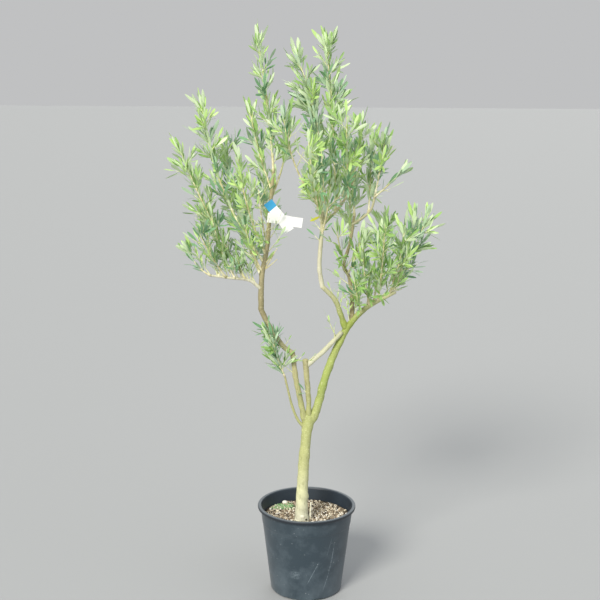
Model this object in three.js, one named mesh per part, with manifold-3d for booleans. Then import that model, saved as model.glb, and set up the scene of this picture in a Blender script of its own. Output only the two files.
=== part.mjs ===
// A young olive tree in a round nursery pot. Millimetres, +Z up, +Y away from the viewer.
// The origin is the middle of the pot's flat underside.
import * as THREE from 'three';
import { mergeVertices } from 'three/addons/utils/BufferGeometryUtils.js';
import Module from 'manifold-3d';

const wasm = await Module();
wasm.setup();

// Driving dimensions of the pot
const RIM_DIAMETER = 240;
const POT_HEIGHT = 216;
const FOOT_DIAMETER = 174;
const BODY_TOP_DIAMETER = 226;
const WALL = 2;
const LIP_HEIGHT = 7;
const STEP_HEIGHT = 173;
const STEP_DEPTH = 0.8;
const FOOT_HEIGHT = 5;
const NOTCHES = 8;
const NOTCH_WIDTH = 30;
const DRAIN_DIAMETER = 12;
const SOIL_TOP = 186;
const POT_SIDES = 32;

// Clearance left between two pieces that touch, and the shortest edge that a solid keeps
const GAP = 0.3;
const FINEST_EDGE = 0.02;

// Leaves and twigs, larger than life so that the few that are made fill the crown
const LEAF_LENGTH = 60;
const LEAF_WIDTH = 18;
const LEAF_THICKNESS = 2.2;
const LEAF_WIDEST = 0.42;
const LEAF_SHARES = [1, 0.75, 0.55];
const PAIR_SPACING = 47;
const TWIG_SPACING = 40;
const FIRST_TWIG = 28;
const STEM_STEP = 70;
const STEM_RADIUS = 2.6;
const TWIG_RADIUS = 1.9;
const TIP_RADIUS = 1.2;
const TIP_LEAF = 46;
const CLEARANCE = 2;

// The photo's camera, fitted to the paving and the wall tiles behind the tree: its height, its tilt, its
// focal length and the picture's middle in pixels, and the pixel where the middle of the pot's foot lies
const CAMERA_HEIGHT = 1191.3;
const CAMERA_PITCH = THREE.MathUtils.degToRad(10.65);
const CAMERA_ROLL = THREE.MathUtils.degToRad(0.35);
const FOCAL_PIXELS = 1060.2;
const PHOTO_MIDDLE = 300;
const FOOT_PIXEL = [306, 585.5];

const LEVEL = new THREE.Vector3(1, 0, 0);
const AHEAD = new THREE.Vector3(0, Math.cos(CAMERA_PITCH), -Math.sin(CAMERA_PITCH));
const UPRIGHT = new THREE.Vector3().crossVectors(LEVEL, AHEAD);
const CAMERA_RIGHT = leaning(LEVEL, UPRIGHT, CAMERA_ROLL);
const CAMERA_UP = leaning(UPRIGHT, LEVEL, -CAMERA_ROLL);

// The line of sight through a pixel, one unit long along the camera's own axis
function sightThrough(x, y) {
  return AHEAD.clone()
    .addScaledVector(CAMERA_RIGHT, (x - PHOTO_MIDDLE) / FOCAL_PIXELS)
    .addScaledVector(CAMERA_UP, (PHOTO_MIDDLE - y) / FOCAL_PIXELS);
}

// The camera stands at its height on the line of sight through the pot's foot, which is the origin
const FOOT_SIGHT = sightThrough(...FOOT_PIXEL);
const CAMERA_PLACE = FOOT_SIGHT.clone().multiplyScalar(CAMERA_HEIGHT / FOOT_SIGHT.z);

// A place seen in the photo: its pixel, and the depth behind the pot's middle in mm, which is guessed
function fromPhoto([x, y, depth]) {
  const sight = sightThrough(x, y);
  return CAMERA_PLACE.clone().addScaledVector(sight, (depth - CAMERA_PLACE.y) / sight.y).setY(depth);
}

function toPhoto(place) {
  const away = place.clone().sub(CAMERA_PLACE);
  const scale = FOCAL_PIXELS / away.dot(AHEAD);
  return new THREE.Vector2(
    PHOTO_MIDDLE + scale * away.dot(CAMERA_RIGHT),
    PHOTO_MIDDLE - scale * away.dot(CAMERA_UP),
  );
}

// Bare limbs: the middle line from root to tip, by places seen in the photo, and the radius at both ends
const limbs = {
  trunk: {
    seen: [[301.3, 521.5, -25], [302.6, 480, -23], [304.6, 452, -19], [307, 432, -15], [308.6, 417, -12]],
    from: 14.8, to: 11.6, flare: 4.5, sides: 10 },
  right_bough: {
    seen: [[308.6, 424, -13], [316, 410, -10], [323.3, 381, -4], [330, 359, 2], [338, 341, 8],
      [347.5, 326, 12]],
    from: 10.2, to: 8.4, sides: 8 },
  middle_stub: { seen: [[308.5, 419, -16], [308.6, 402, -20], [306.6, 378, -24], [305.4, 359.3, -24]],
    from: 5.4, to: 6.9, sides: 7 },
  diagonal_limb: { seen: [[307, 365, -22], [322, 352.5, -15], [341, 333, 0]],
    from: 5.8, to: 5.4, sides: 7 },
  left_bough_low: { seen: [[305.5, 424, -14], [300.5, 400, -20], [295.4, 376, -24], [292.6, 353.5, -22]],
    from: 7, to: 6, sides: 7 },
  low_shoot: {
    seen: [[304.5, 427, -17], [298, 420.5, -22], [292.5, 407, -27], [288.3, 391, -30], [284.8, 377, -31]],
    from: 3.4, to: 2.3, sides: 5 },
  left_bough: { seen: [[292.6, 353, -22], [284.3, 347.3, -18], [269.6, 327, -8], [260.9, 309.5, 0]],
    from: 5.8, to: 6.4, sides: 7 },
  left_leader: { seen: [[260.9, 309, 0], [262, 276, 8], [267.1, 247.4, 12], [270, 208, 12], [273.6, 172, 8]],
    from: 6.9, to: 3.6, sides: 7 },
  low_left_branch: { seen: [[261.5, 289, 4], [249.5, 280.6, -2], [231, 278, -8], [211, 275.5, -14]],
    from: 3.6, to: 2.5, sides: 5 },
  arm_left_low: { seen: [[345, 327, 10], [340.8, 314.5, 8], [335, 299.8, 4], [322.2, 286.5, -4]],
    from: 6.6, to: 5.3, sides: 7 },
  arm_left: { seen: [[322.2, 286.5, -4], [319.3, 268, -8], [320.4, 247, -6], [323.8, 207, 4]],
    from: 5.4, to: 4.3, sides: 7 },
  arm_left_fork: { seen: [[323, 222, 0], [334.5, 213.3, 2], [346.5, 196, 4], [353.2, 178, 6]],
    from: 3.4, to: 2.5, sides: 5 },
  arm_middle: {
    seen: [[351.5, 322, 12], [352, 302, 16], [348.8, 277, 22], [344, 266.5, 24], [350.3, 242, 26],
      [354.3, 216, 28]],
    from: 5.2, to: 3, sides: 7 },
  arm_right: { seen: [[347.5, 327, 12], [357.5, 315.5, 10], [370, 305.5, 6], [394.8, 292.2, -4]],
    from: 8.2, to: 3.9, sides: 7 },
  arm_right_tip: { seen: [[394.8, 292.5, -4], [394.2, 286, -4], [393.6, 279, -2]],
    from: 3.7, to: 3, sides: 5 },
  upper_right_arm: { seen: [[353.2, 224, 27], [363, 217.5, 22], [371.5, 209, 14], [375.3, 194, 8]],
    from: 3.2, to: 2.5, sides: 5 },
};

// Limbs run through whole millimetres, which is finer than the photo shows
for (const limb of Object.values(limbs)) {
  limb.path = limb.seen.map((place) => fromPhoto(place).round().toArray());
}
const LIMB_STEP = 32;
const FLARE_HEIGHT = 16;

// Leaf masses: name, the limb that the stem grows from, where in the photo it leaves that limb ('tip' for
// the limb's end), where the tip of its last leaf is seen, how much its rise over the level changes on the
// way, in degrees, and the reach of its leaves
const masses = [
  ['left_low', 'low_left_branch', 'tip', [181, 248, -30], 40, 52],
  ['left_front', 'low_left_branch', [226, 277.6], [189, 214, -85], 15, 62],
  ['left_centre', 'low_left_branch', [235, 278.5], [206, 200, -20], 20, 62],
  ['left_long', 'low_left_branch', [245, 280], [174, 138, 15], 12, 66],
  ['left_back', 'low_left_branch', [219, 276.5], [196, 182, 110], 25, 68],
  ['left_under', 'left_leader', [262.3, 272], [238, 198, -35], 25, 60],
  ['left_tall', 'left_leader', [262, 262], [198, 91, 45], 34, 66],
  ['left_inner', 'left_leader', [265, 254], [233, 141, -60], 25, 66],
  ['left_rear', 'left_leader', [262, 278], [222, 131, 140], 30, 72],
  ['leader_front', 'left_leader', [267, 245], [256, 175, -105], 30, 62],
  ['leader_back', 'left_leader', [268, 232], [264, 158, 130], 30, 68],
  ['leader_left', 'left_leader', [271.6, 190], [246, 98, 40], 15, 60],
  ['leader_top', 'left_leader', 'tip', [256, 23, 5], -8, 60],
  ['leader_right', 'left_leader', [271, 198], [293, 105, 60], 30, 60],
  ['leader_spur', 'left_leader', [263.6, 266], [281, 245, 0], 10, 34],
  ['crossing', 'arm_left', [323, 212], [276, 100, -60], 38, 60],
  ['centre_left', 'arm_left', 'tip', [295, 41, 0], -25, 66],
  ['centre_right', 'arm_left_fork', [336, 212], [326, 28, 45], -8, 66],
  ['centre_low', 'arm_left', [321.5, 236], [334, 160, -60], 25, 60],
  ['fork_top', 'arm_left_fork', 'tip', [366, 106, -10], 10, 62],
  ['centre_front', 'arm_left', [322.5, 224], [306, 125, -115], 30, 70],
  ['centre_back', 'arm_left', [322, 230], [316, 115, 140], 30, 72],
  ['fork_front', 'arm_left_fork', [348, 192], [346, 100, -95], 25, 64],
  ['right_upper', 'upper_right_arm', 'tip', [388, 120, -15], 5, 62],
  ['lone_twig', 'upper_right_arm', [374.5, 197], [413, 162, -30], 5, 44],
  ['right_upper_back', 'upper_right_arm', [368, 212], [372, 130, 115], 25, 68],
  ['middle_top', 'arm_middle', 'tip', [350, 135, 60], -8, 62],
  ['middle_left', 'arm_middle', [345, 261], [334, 218, -70], 30, 52],
  ['middle_right', 'arm_middle', [347.5, 274], [366, 222, -35], 25, 56],
  ['middle_back', 'arm_middle', [350, 242], [350, 160, 150], 30, 70],
  ['right_outer', 'arm_right_tip', 'tip', [433, 205, -15], 25, 52],
  ['right_mid', 'arm_right_tip', [394.3, 288], [419, 204, 60], 20, 62],
  ['right_mid_front', 'arm_right', [389, 296.5], [409, 209, -65], 25, 60],
  ['right_front', 'arm_right', [378, 301.5], [387, 208, -105], 30, 66],
  ['right_inner', 'arm_right', [369, 305.5], [361, 232, -60], 25, 60],
  ['right_low_front', 'arm_right', [361, 311.5], [352, 268, -75], 25, 48],
  ['right_back', 'arm_right', [374, 303.5], [385, 212, 135], 30, 72],
  ['right_low', 'arm_right', [386, 298.2], [416, 258, 60], 20, 50],
  ['low_shoot', 'low_shoot', 'tip', [267, 322, -50], 14, 50],
].map(planMass);

// A limb as it is seen, in straight runs between its places, cut up finer than a pixel
function sampleLimb(limb) {
  const corners = limb.seen.map(fromPhoto);
  const runs = corners.length - 1;
  const samples = 400;
  return Array.from({ length: samples }, (_, i) => {
    const place = runs * i / (samples - 1);
    const before = Math.min(Math.floor(place), runs - 1);
    return corners[before].clone().lerp(corners[before + 1], place - before);
  });
}

// Which sample of a limb a stem leaves: the last, or the one that lies nearest to a pixel in the photo
function footSample(samples, foot) {
  if (foot === 'tip') return samples.length - 1;
  const pixel = new THREE.Vector2(...foot);
  const gaps = samples.map((sample) => toPhoto(sample).distanceTo(pixel));
  return gaps.indexOf(Math.min(...gaps));
}

// A mass by its stem: the place on the limb (0 root, 1 tip) that it leaves, its bearing seen from above,
// with 0 at +X and 90 at +Y, the rise that it starts with, and its length to the tip of the last leaf. The
// stem bends evenly from its foot to that tip, so it is longer than the straight way by half the bend over
// that half's sine. Hundredths, whole degrees and steps of 5 mm are as fine as the photo can tell.
function planMass([name, limb, foot, tip, lift, reach]) {
  const samples = sampleLimb(limbs[limb]);
  const number = footSample(samples, foot);
  const runs = samples.map((sample, i) => (i > 0 ? sample.distanceTo(samples[i - 1]) : 0));
  const total = (lengths) => lengths.reduce((sum, length) => sum + length, 0);
  const at = total(runs.slice(0, number + 1)) / total(runs);
  const away = fromPhoto(tip).sub(samples[number]);
  const bearing = THREE.MathUtils.radToDeg(Math.atan2(away.y, away.x));
  const rise = THREE.MathUtils.radToDeg(Math.atan2(away.z, Math.hypot(away.x, away.y)));
  const half = THREE.MathUtils.degToRad(lift) / 2;
  const length = away.length() * half / Math.sin(half);
  return {
    name, limb, lift, reach,
    at: Math.round(100 * at) / 100,
    bearing: Math.round(bearing),
    rise: Math.round(rise - lift / 2),
    length: 5 * Math.round(length / 5),
  };
}

// The blank plant label on the left leader: two legs of one strip, by their ends
const LABEL_WIDTH = 24;
const LABEL_THICKNESS = 0.9;
const LABEL_LEVEL = 916;
const LABEL_BACK = 5.4;
const labelLegs = [
  { from: [-98, 921], to: [-14, 909], back: LABEL_BACK },
  { from: [-95, 957], to: [-44, 888], back: LABEL_BACK - 0.8 },
];

// Bark colours: greener or paler on some limbs, tan on the rest
const TAN_BARK = '#a89e6e';
const barkColours = {
  trunk: '#bdbb72',
  right_bough: '#a9b84e',
  diagonal_limb: '#d8d6bd',
  arm_left: '#cfcba6',
};

// The dead stub that stands in the soil beside the trunk
const STUB_FOOT = [9, -22];
const STUB_HEIGHT = 42;
const STUB_RADIUS = 2.6;

// Repeatable dice: the same numbers come out for the same seed
function dice(seed) {
  let state = seed * 7919;
  const throwOnce = (low, high) => {
    state = (state * 1664525 + 1013904223) % 4294967296;
    return low + (high - low) * state / 4294967296;
  };
  for (let warmUp = 0; warmUp < 3; warmUp += 1) throwOnce(0, 1);
  return throwOnce;
}

// Solids: a closed geometry with shared vertices becomes a solid that can be joined and cut
function toSolid(geometry) {
  const bare = geometry.clone();
  bare.deleteAttribute('normal');
  bare.deleteAttribute('uv');
  const merged = mergeVertices(bare, 1e-4);
  const corners = merged.index.array;
  const kept = [];
  for (let i = 0; i < corners.length; i += 3) {
    const [a, b, c] = [corners[i], corners[i + 1], corners[i + 2]];
    if (a !== b && b !== c && c !== a) kept.push(a, b, c);
  }
  const mesh = new wasm.Mesh({
    numProp: 3,
    vertProperties: new Float32Array(merged.attributes.position.array),
    triVerts: new Uint32Array(kept),
  });
  return new wasm.Manifold(mesh);
}

// A joined or cut solid keeps its largest body, so sealed hollows and loose scraps go, and corners that
// lie closer together than the finest edge are drawn into one
function largestBody(solid) {
  const bodies = solid.decompose();
  return bodies.reduce((best, body) => (body.volume() > best.volume() ? body : best)).simplify(FINEST_EDGE);
}

function toGeometry(solid) {
  const mesh = solid.getMesh();
  const geometry = new THREE.BufferGeometry();
  geometry.setAttribute('position', new THREE.Float32BufferAttribute(mesh.vertProperties, 3));
  geometry.setIndex(Array.from(mesh.triVerts));
  geometry.computeVertexNormals();
  return geometry;
}

// A round tapering tube with flat ends along a curve: rings stand square on the curve
function tubeGeometry(curve, radiusAt, sides, steps, grow = 0) {
  const { tangents, normals, binormals } = curve.computeFrenetFrames(steps);
  const position = [];
  const index = [];
  for (let i = 0; i <= steps; i += 1) {
    const centre = curve.getPointAt(i / steps);
    if (i === 0) centre.addScaledVector(tangents[i], -grow);
    if (i === steps) centre.addScaledVector(tangents[i], grow);
    const radius = radiusAt(i / steps) + grow / Math.cos(Math.PI / sides);
    for (let j = 0; j < sides; j += 1) {
      const turn = 2 * Math.PI * j / sides;
      const corner = centre.clone()
        .addScaledVector(normals[i], radius * Math.cos(turn))
        .addScaledVector(binormals[i], radius * Math.sin(turn));
      position.push(corner.x, corner.y, corner.z);
      const next = (j + 1) % sides;
      if (i < steps) {
        const [a, b] = [i * sides + j, i * sides + next];
        index.push(a, b, b + sides, a, b + sides, a + sides);
      }
    }
  }
  const last = steps * sides;
  for (let j = 1; j < sides - 1; j += 1) {
    index.push(0, j + 1, j, last, last + j, last + j + 1);
  }
  const geometry = new THREE.BufferGeometry();
  geometry.setAttribute('position', new THREE.Float32BufferAttribute(position, 3));
  geometry.setIndex(index);
  return geometry;
}

// A place on the straight runs between a tube's rings, where its middle really lies
function middleAt(curve, steps, place) {
  const ring = Math.min(Math.floor(place * steps), steps - 1);
  return curve.getPointAt(ring / steps).lerp(curve.getPointAt((ring + 1) / steps), place * steps - ring);
}

function curveThrough(points) {
  return new THREE.CatmullRomCurve3(points.map((p) => new THREE.Vector3(...p)), false, 'centripetal');
}

// A turned piece from a half outline of radius and height pairs that starts and ends on the axis
function turnedGeometry(outline, sides) {
  const geometry = new THREE.LatheGeometry(outline.map(([r, z]) => new THREE.Vector2(r, z)), sides);
  geometry.rotateX(Math.PI / 2);
  return geometry;
}

// Pot: outside and inside radius at a height
function outsideRadius(z) {
  const slope = (BODY_TOP_DIAMETER - FOOT_DIAMETER) / 2 / POT_HEIGHT;
  return FOOT_DIAMETER / 2 + slope * z + (z >= STEP_HEIGHT ? STEP_DEPTH : 0);
}

function insideRadius(z) {
  return outsideRadius(z) - WALL - (z >= STEP_HEIGHT ? STEP_DEPTH : 0);
}

const FLOOR_TOP = FOOT_HEIGHT + 3;
const CHANNEL_INNER = 40;
const CHANNEL_OUTER = 68;

function makePot() {
  const rim = RIM_DIAMETER / 2;
  const lipBottom = POT_HEIGHT - LIP_HEIGHT;
  const outline = [
    [0, 0], [CHANNEL_INNER, 0], [CHANNEL_INNER + 2, FOOT_HEIGHT], [CHANNEL_OUTER - 2, FOOT_HEIGHT],
    [CHANNEL_OUTER, 0], [outsideRadius(0) - 3, 0], [outsideRadius(4), 4],
    [outsideRadius(STEP_HEIGHT - 1), STEP_HEIGHT - 1], [outsideRadius(STEP_HEIGHT), STEP_HEIGHT],
    [outsideRadius(lipBottom), lipBottom], [rim - 1, lipBottom], [rim, lipBottom + 1.5],
    [rim, POT_HEIGHT - 2], [rim - 1.5, POT_HEIGHT], [insideRadius(POT_HEIGHT) + 1.5, POT_HEIGHT],
    [insideRadius(POT_HEIGHT - 3), POT_HEIGHT - 3], [insideRadius(FLOOR_TOP), FLOOR_TOP], [0, FLOOR_TOP],
  ];
  let pot = toSolid(turnedGeometry(outline, POT_SIDES));
  for (let i = 0; i < NOTCHES; i += 1) {
    const turn = 2 * Math.PI * (i + 0.4) / NOTCHES;
    const notch = new THREE.BoxGeometry(CHANNEL_INNER, NOTCH_WIDTH, 2 * FOOT_HEIGHT - 1);
    notch.translate(CHANNEL_OUTER + CHANNEL_INNER / 2 - 3, 0, 0);
    notch.rotateZ(turn);
    pot = pot.subtract(toSolid(notch));
    if (i % 2) continue;
    const drain = new THREE.CylinderGeometry(DRAIN_DIAMETER / 2, DRAIN_DIAMETER / 2, 3 * FOOT_HEIGHT, 10);
    drain.rotateX(Math.PI / 2);
    drain.translate((CHANNEL_INNER + CHANNEL_OUTER) / 2, 0, FOOT_HEIGHT);
    drain.rotateZ(turn);
    pot = pot.subtract(toSolid(drain));
  }
  return pot;
}

// Soil: fills the pot to below the rim, clear of its wall and floor
function makeSoil() {
  const floor = FLOOR_TOP + GAP;
  const outline = [
    [0, floor], [insideRadius(floor) - GAP, floor], [insideRadius(SOIL_TOP) - GAP, SOIL_TOP], [0, SOIL_TOP],
  ];
  return toSolid(turnedGeometry(outline, POT_SIDES));
}

// Dead stub: a short cut stick that stands on the soil
function makeDeadStub() {
  const stick = new THREE.CylinderGeometry(STUB_RADIUS * 0.8, STUB_RADIUS, STUB_HEIGHT, 8);
  stick.rotateX(Math.PI / 2);
  stick.translate(STUB_FOOT[0], STUB_FOOT[1], SOIL_TOP + GAP + STUB_HEIGHT / 2);
  return toSolid(stick);
}

// Limbs: a taper from root to tip, with a flare where the trunk leaves the soil
function limbTube(limb, grow = 0) {
  const curve = curveThrough(limb.path);
  const run = curve.getLength();
  const radiusAt = (s) => limb.from + (limb.to - limb.from) * s
    + (limb.flare ? limb.flare * Math.exp(-s * run / FLARE_HEIGHT) : 0);
  return toSolid(tubeGeometry(curve, radiusAt, limb.sides, Math.round(run / LIMB_STEP), grow));
}

function clearOf(solid, others) {
  return largestBody(others.reduce((left, other) => left.subtract(other), solid));
}

// Leaf masses: where a stem runs, from its limb along its bearing, its rise changing evenly
function stemPoints(mass) {
  const start = curveThrough(limbs[mass.limb].path).getPointAt(mass.at);
  const points = [start];
  const pieces = 12;
  const run = mass.length - TIP_LEAF;
  const bearing = THREE.MathUtils.degToRad(mass.bearing);
  for (let i = 0; i < pieces; i += 1) {
    const rise = THREE.MathUtils.degToRad(mass.rise + mass.lift * (i + 0.5) / pieces);
    const ahead = new THREE.Vector3(
      Math.cos(rise) * Math.cos(bearing),
      Math.cos(rise) * Math.sin(bearing),
      Math.sin(rise),
    );
    points.push(points[i].clone().addScaledVector(ahead, run / pieces));
  }
  return points;
}

// Every stem and limb as a row of beads, each with its owner and radius, to measure clearances from
const beads = [];
const BEAD_SPACING = 5;
function threadBeads(owner, curve, radiusAt) {
  const count = Math.ceil(curve.getLength() / BEAD_SPACING);
  for (let i = 0; i <= count; i += 1) {
    beads.push({ owner, place: curve.getPointAt(i / count), radius: radiusAt(i / count) });
  }
}

// A point is in its mass's space when it is within reach of its own stem, nearer to that stem than to
// any other, and clear of every limb
function inOwnSpace(point, mass) {
  let own = Infinity;
  let other = Infinity;
  for (const bead of beads) {
    const distance = bead.place.distanceTo(point);
    if (bead.owner === mass.name) own = Math.min(own, distance);
    else if (bead.radius === 0) other = Math.min(other, distance);
    else if (distance < bead.radius + CLEARANCE) return false;
  }
  return own <= mass.reach && own + CLEARANCE < other;
}

// A direction that leans from one unit vector towards another that is square to it
function leaning(straight, outward, angle) {
  return straight.clone().multiplyScalar(Math.cos(angle)).addScaledVector(outward, Math.sin(angle));
}

// A leaf of six faces: widest before its middle, ridged on one side, its root sunk in the twig
function leafSolid(root, along, face, length) {
  const across = new THREE.Vector3().crossVectors(along, face).normalize();
  const widest = root.clone().addScaledVector(along, LEAF_WIDEST * length);
  const half = LEAF_WIDTH / 2 * length / LEAF_LENGTH;
  const corners = [
    root,
    root.clone().addScaledVector(along, length),
    widest.clone().addScaledVector(across, half),
    widest.clone().addScaledVector(across, -half),
    widest.clone().addScaledVector(face, -LEAF_THICKNESS),
  ];
  const geometry = new THREE.BufferGeometry();
  const position = corners.flatMap((corner) => corner.toArray());
  geometry.setAttribute('position', new THREE.Float32BufferAttribute(position, 3));
  geometry.setIndex([0, 2, 3, 2, 1, 3, 0, 3, 4, 3, 1, 4, 0, 4, 2, 4, 1, 2]);
  return { solid: toSolid(geometry), probes: [corners[1], corners[2], corners[3]] };
}

// Leaves sit in opposite pairs, each pair a quarter turn from the last, and one ends the twig
function addLeaves(solids, curve, steps, mass, bareStart, draw) {
  const run = curve.getLength();
  const pairs = Math.max(1, Math.round((run - bareStart) / PAIR_SPACING));
  const { tangents, normals, binormals } = curve.computeFrenetFrames(pairs);
  const turnOfFirst = draw(0, Math.PI);
  for (let i = 0; i <= pairs; i += 1) {
    const place = (bareStart + (run - bareStart - 3) * i / pairs) / run;
    const root = middleAt(curve, steps, place);
    const ends = i === pairs;
    for (let side = 0; side < (ends ? 1 : 2); side += 1) {
      const turn = turnOfFirst + Math.PI * side + Math.PI / 2 * i + draw(-0.3, 0.3);
      const lean = THREE.MathUtils.degToRad(ends ? draw(4, 14) : draw(34, 52));
      const outward = leaning(normals[i], binormals[i], turn);
      const along = leaning(tangents[i], outward, lean);
      const face = leaning(tangents[i], outward, lean - Math.PI / 2);
      const length = LEAF_LENGTH * draw(0.85, 1.1);
      const fitting = LEAF_SHARES.map((share) => leafSolid(root, along, face, length * share))
        .find((leaf) => leaf.probes.every((probe) => inOwnSpace(probe, mass)));
      if (fitting) solids.push(fitting.solid);
    }
  }
}

// Side twigs leave the stem one after another, each a golden angle round from the last, and bend upwards
function growMass(mass, number) {
  const draw = dice(number + 1);
  const stem = curveThrough(stemPoints(mass).map((p) => p.toArray()));
  const run = stem.getLength();
  const taper = (s) => STEM_RADIUS + (TIP_RADIUS - STEM_RADIUS) * s;
  const steps = Math.max(1, Math.round(run / STEM_STEP));
  const solids = [toSolid(tubeGeometry(stem, taper, 3, steps))];
  addLeaves(solids, stem, steps, mass, Math.min(FIRST_TWIG, run * 0.3), draw);
  const count = Math.floor((run - FIRST_TWIG) / TWIG_SPACING);
  const { tangents, normals, binormals } = stem.computeFrenetFrames(Math.max(1, count));
  for (let i = 0; i < count; i += 1) {
    const place = (FIRST_TWIG + TWIG_SPACING * (i + draw(-0.2, 0.2))) / run;
    const turn = i * 2.4 + draw(-0.4, 0.4);
    const lean = THREE.MathUtils.degToRad(draw(38, 52));
    const ahead = leaning(tangents[i], leaning(normals[i], binormals[i], turn), lean);
    const length = mass.reach * draw(0.6, 0.9) * (1 - 0.35 * place);
    const root = middleAt(stem, steps, place);
    const middle = root.clone().addScaledVector(ahead, length / 2);
    const tip = root.clone().addScaledVector(ahead, length);
    if (inOwnSpace(middle, mass) && inOwnSpace(tip, mass)) {
      const twig = new THREE.LineCurve3(root, tip);
      solids.push(toSolid(tubeGeometry(twig, (s) => TWIG_RADIUS + (TIP_RADIUS - TWIG_RADIUS) * s, 3, 1)));
      addLeaves(solids, twig, 1, mass, length * 0.4, draw);
    }
  }
  return wasm.Manifold.union(solids);
}

// Label: two flat legs and the band that holds them round the leader
function makeLabel(leaderGrown) {
  const parts = labelLegs.map(({ from, to, back }) => {
    const run = Math.hypot(to[0] - from[0], to[1] - from[1]);
    const leg = new THREE.BoxGeometry(run, LABEL_THICKNESS, LABEL_WIDTH);
    leg.rotateY(Math.atan2(from[1] - to[1], to[0] - from[0]));
    leg.translate((from[0] + to[0]) / 2, back, (from[1] + to[1]) / 2);
    return toSolid(leg);
  });
  const leader = curveThrough(limbs.left_leader.path);
  const points = leader.getSpacedPoints(100).filter((p) => Math.abs(p.z - LABEL_LEVEL) < LABEL_WIDTH / 2);
  const band = curveThrough([points[0], points[points.length - 1]].map((p) => p.toArray()));
  parts.push(toSolid(tubeGeometry(band, () => 7.2, 12, 1)));
  return clearOf(wasm.Manifold.union(parts), [leaderGrown]);
}

const tree = new THREE.Group();
function addPiece(name, solid, colour, roughness) {
  const material = new THREE.MeshStandardMaterial({ color: colour, roughness, metalness: 0 });
  const mesh = new THREE.Mesh(toGeometry(solid), material);
  mesh.name = name;
  tree.add(mesh);
}

addPiece('pot', makePot(), '#3b464d', 0.55);
addPiece('soil', makeSoil(), '#8a6f55', 0.95);
addPiece('dead_stub', makeDeadStub(), '#cfc6a6', 0.85);

const soilGrown = new THREE.BoxGeometry(RIM_DIAMETER, RIM_DIAMETER, POT_HEIGHT);
soilGrown.translate(0, 0, SOIL_TOP + GAP - POT_HEIGHT / 2);
const grown = { soil: toSolid(soilGrown) };
for (const [name, limb] of Object.entries(limbs)) {
  addPiece(name, clearOf(limbTube(limb), Object.values(grown)), barkColours[name] ?? TAN_BARK, 0.8);
  grown[name] = limbTube(limb, GAP);
}
addPiece('label', makeLabel(grown.left_leader), '#f2f5f6', 0.5);

for (const [name, limb] of Object.entries(limbs)) {
  const reach = Math.max(limb.from, limb.to);
  threadBeads(name, curveThrough(limb.path), () => reach);
}
for (const { from, to, back } of labelLegs) {
  const leg = curveThrough([[from[0], back, from[1]], [to[0], back, to[1]]]);
  threadBeads('label', leg, () => LABEL_WIDTH / 2 + 2);
}
for (const mass of masses) {
  threadBeads(mass.name, curveThrough(stemPoints(mass).map((p) => p.toArray())), () => 0);
}
masses.forEach((mass, number) => {
  const solid = clearOf(growMass(mass, number), Object.values(grown));
  addPiece(`leaves_${mass.name}`, solid, '#8fae74', 0.6);
});

export default tree;
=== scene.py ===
from math import atan2, cos, degrees, pi, radians, sin

import bpy
import numpy as np
from mathutils import Matrix, Vector


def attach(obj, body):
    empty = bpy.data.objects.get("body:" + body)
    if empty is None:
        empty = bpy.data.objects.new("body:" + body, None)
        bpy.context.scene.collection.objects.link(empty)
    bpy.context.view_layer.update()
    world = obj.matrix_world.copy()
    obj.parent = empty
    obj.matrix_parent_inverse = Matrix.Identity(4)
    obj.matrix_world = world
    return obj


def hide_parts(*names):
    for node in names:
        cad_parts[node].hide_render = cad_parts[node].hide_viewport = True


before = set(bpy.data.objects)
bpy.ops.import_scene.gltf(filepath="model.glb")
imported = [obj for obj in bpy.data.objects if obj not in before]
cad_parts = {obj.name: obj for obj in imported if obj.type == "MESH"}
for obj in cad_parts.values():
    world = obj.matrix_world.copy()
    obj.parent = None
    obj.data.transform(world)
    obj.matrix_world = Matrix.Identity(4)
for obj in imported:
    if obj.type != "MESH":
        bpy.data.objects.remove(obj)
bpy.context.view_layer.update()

mm = 0.001
rootBody = "root"


# Mesh and material helpers

def linear(hexColour):
    # each sRGB channel c becomes ((c + 0.055) / 1.055) ^ 2.4, or c / 12.92 near black
    channels = np.array([int(hexColour[i:i + 2], 16) for i in (1, 3, 5)]) / 255
    curved = ((channels + 0.055) / 1.055) ** 2.4
    return (*np.where(channels <= 0.04045, channels / 12.92, curved), 1.0)


def addNode(tree, kind, settings=None, links=None):
    # settings go to the node's inputs or its own properties, links join outputs to its inputs
    node = tree.nodes.new("ShaderNode" + kind)
    for key, value in (settings or {}).items():
        if key == "stops":
            ramp = node.color_ramp
            while len(ramp.elements) < len(value):
                ramp.elements.new(0.5)
            for element, (place, colour) in zip(ramp.elements, value):
                element.position = place
                element.color = colour
        elif isinstance(key, int) or key in node.inputs:
            node.inputs[key].default_value = value
        else:
            setattr(node, key, value)
    for key, output in (links or {}).items():
        tree.links.new(output, node.inputs[key])
    return node


def newMaterial(name):
    material = bpy.data.materials.new(name)
    material.use_nodes = True
    tree = material.node_tree
    shader = next(node for node in tree.nodes if node.type == "BSDF_PRINCIPLED")
    return material, tree, shader


def grey(value):
    return (value, value, value, 1.0)


def meshPiece(name, points, faces, materials, faceMaterial=None, sharpAngle=None):
    # points in millimetres; faceMaterial gives each face its place in the materials list
    mesh = bpy.data.meshes.new(name)
    mesh.from_pydata((np.asarray(points) * mm).tolist(), [], faces)
    for material in materials:
        mesh.materials.append(material)
    if faceMaterial is not None:
        mesh.polygons.foreach_set("material_index", np.asarray(faceMaterial, np.int32))
    mesh.polygons.foreach_set("use_smooth", np.ones(len(mesh.polygons), bool))
    if sharpAngle is not None:
        mesh.set_sharp_from_angle(angle=radians(sharpAngle))
    mesh.update()
    piece = bpy.data.objects.new(name, mesh)
    bpy.context.scene.collection.objects.link(piece)
    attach(piece, rootBody)
    return piece


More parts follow.
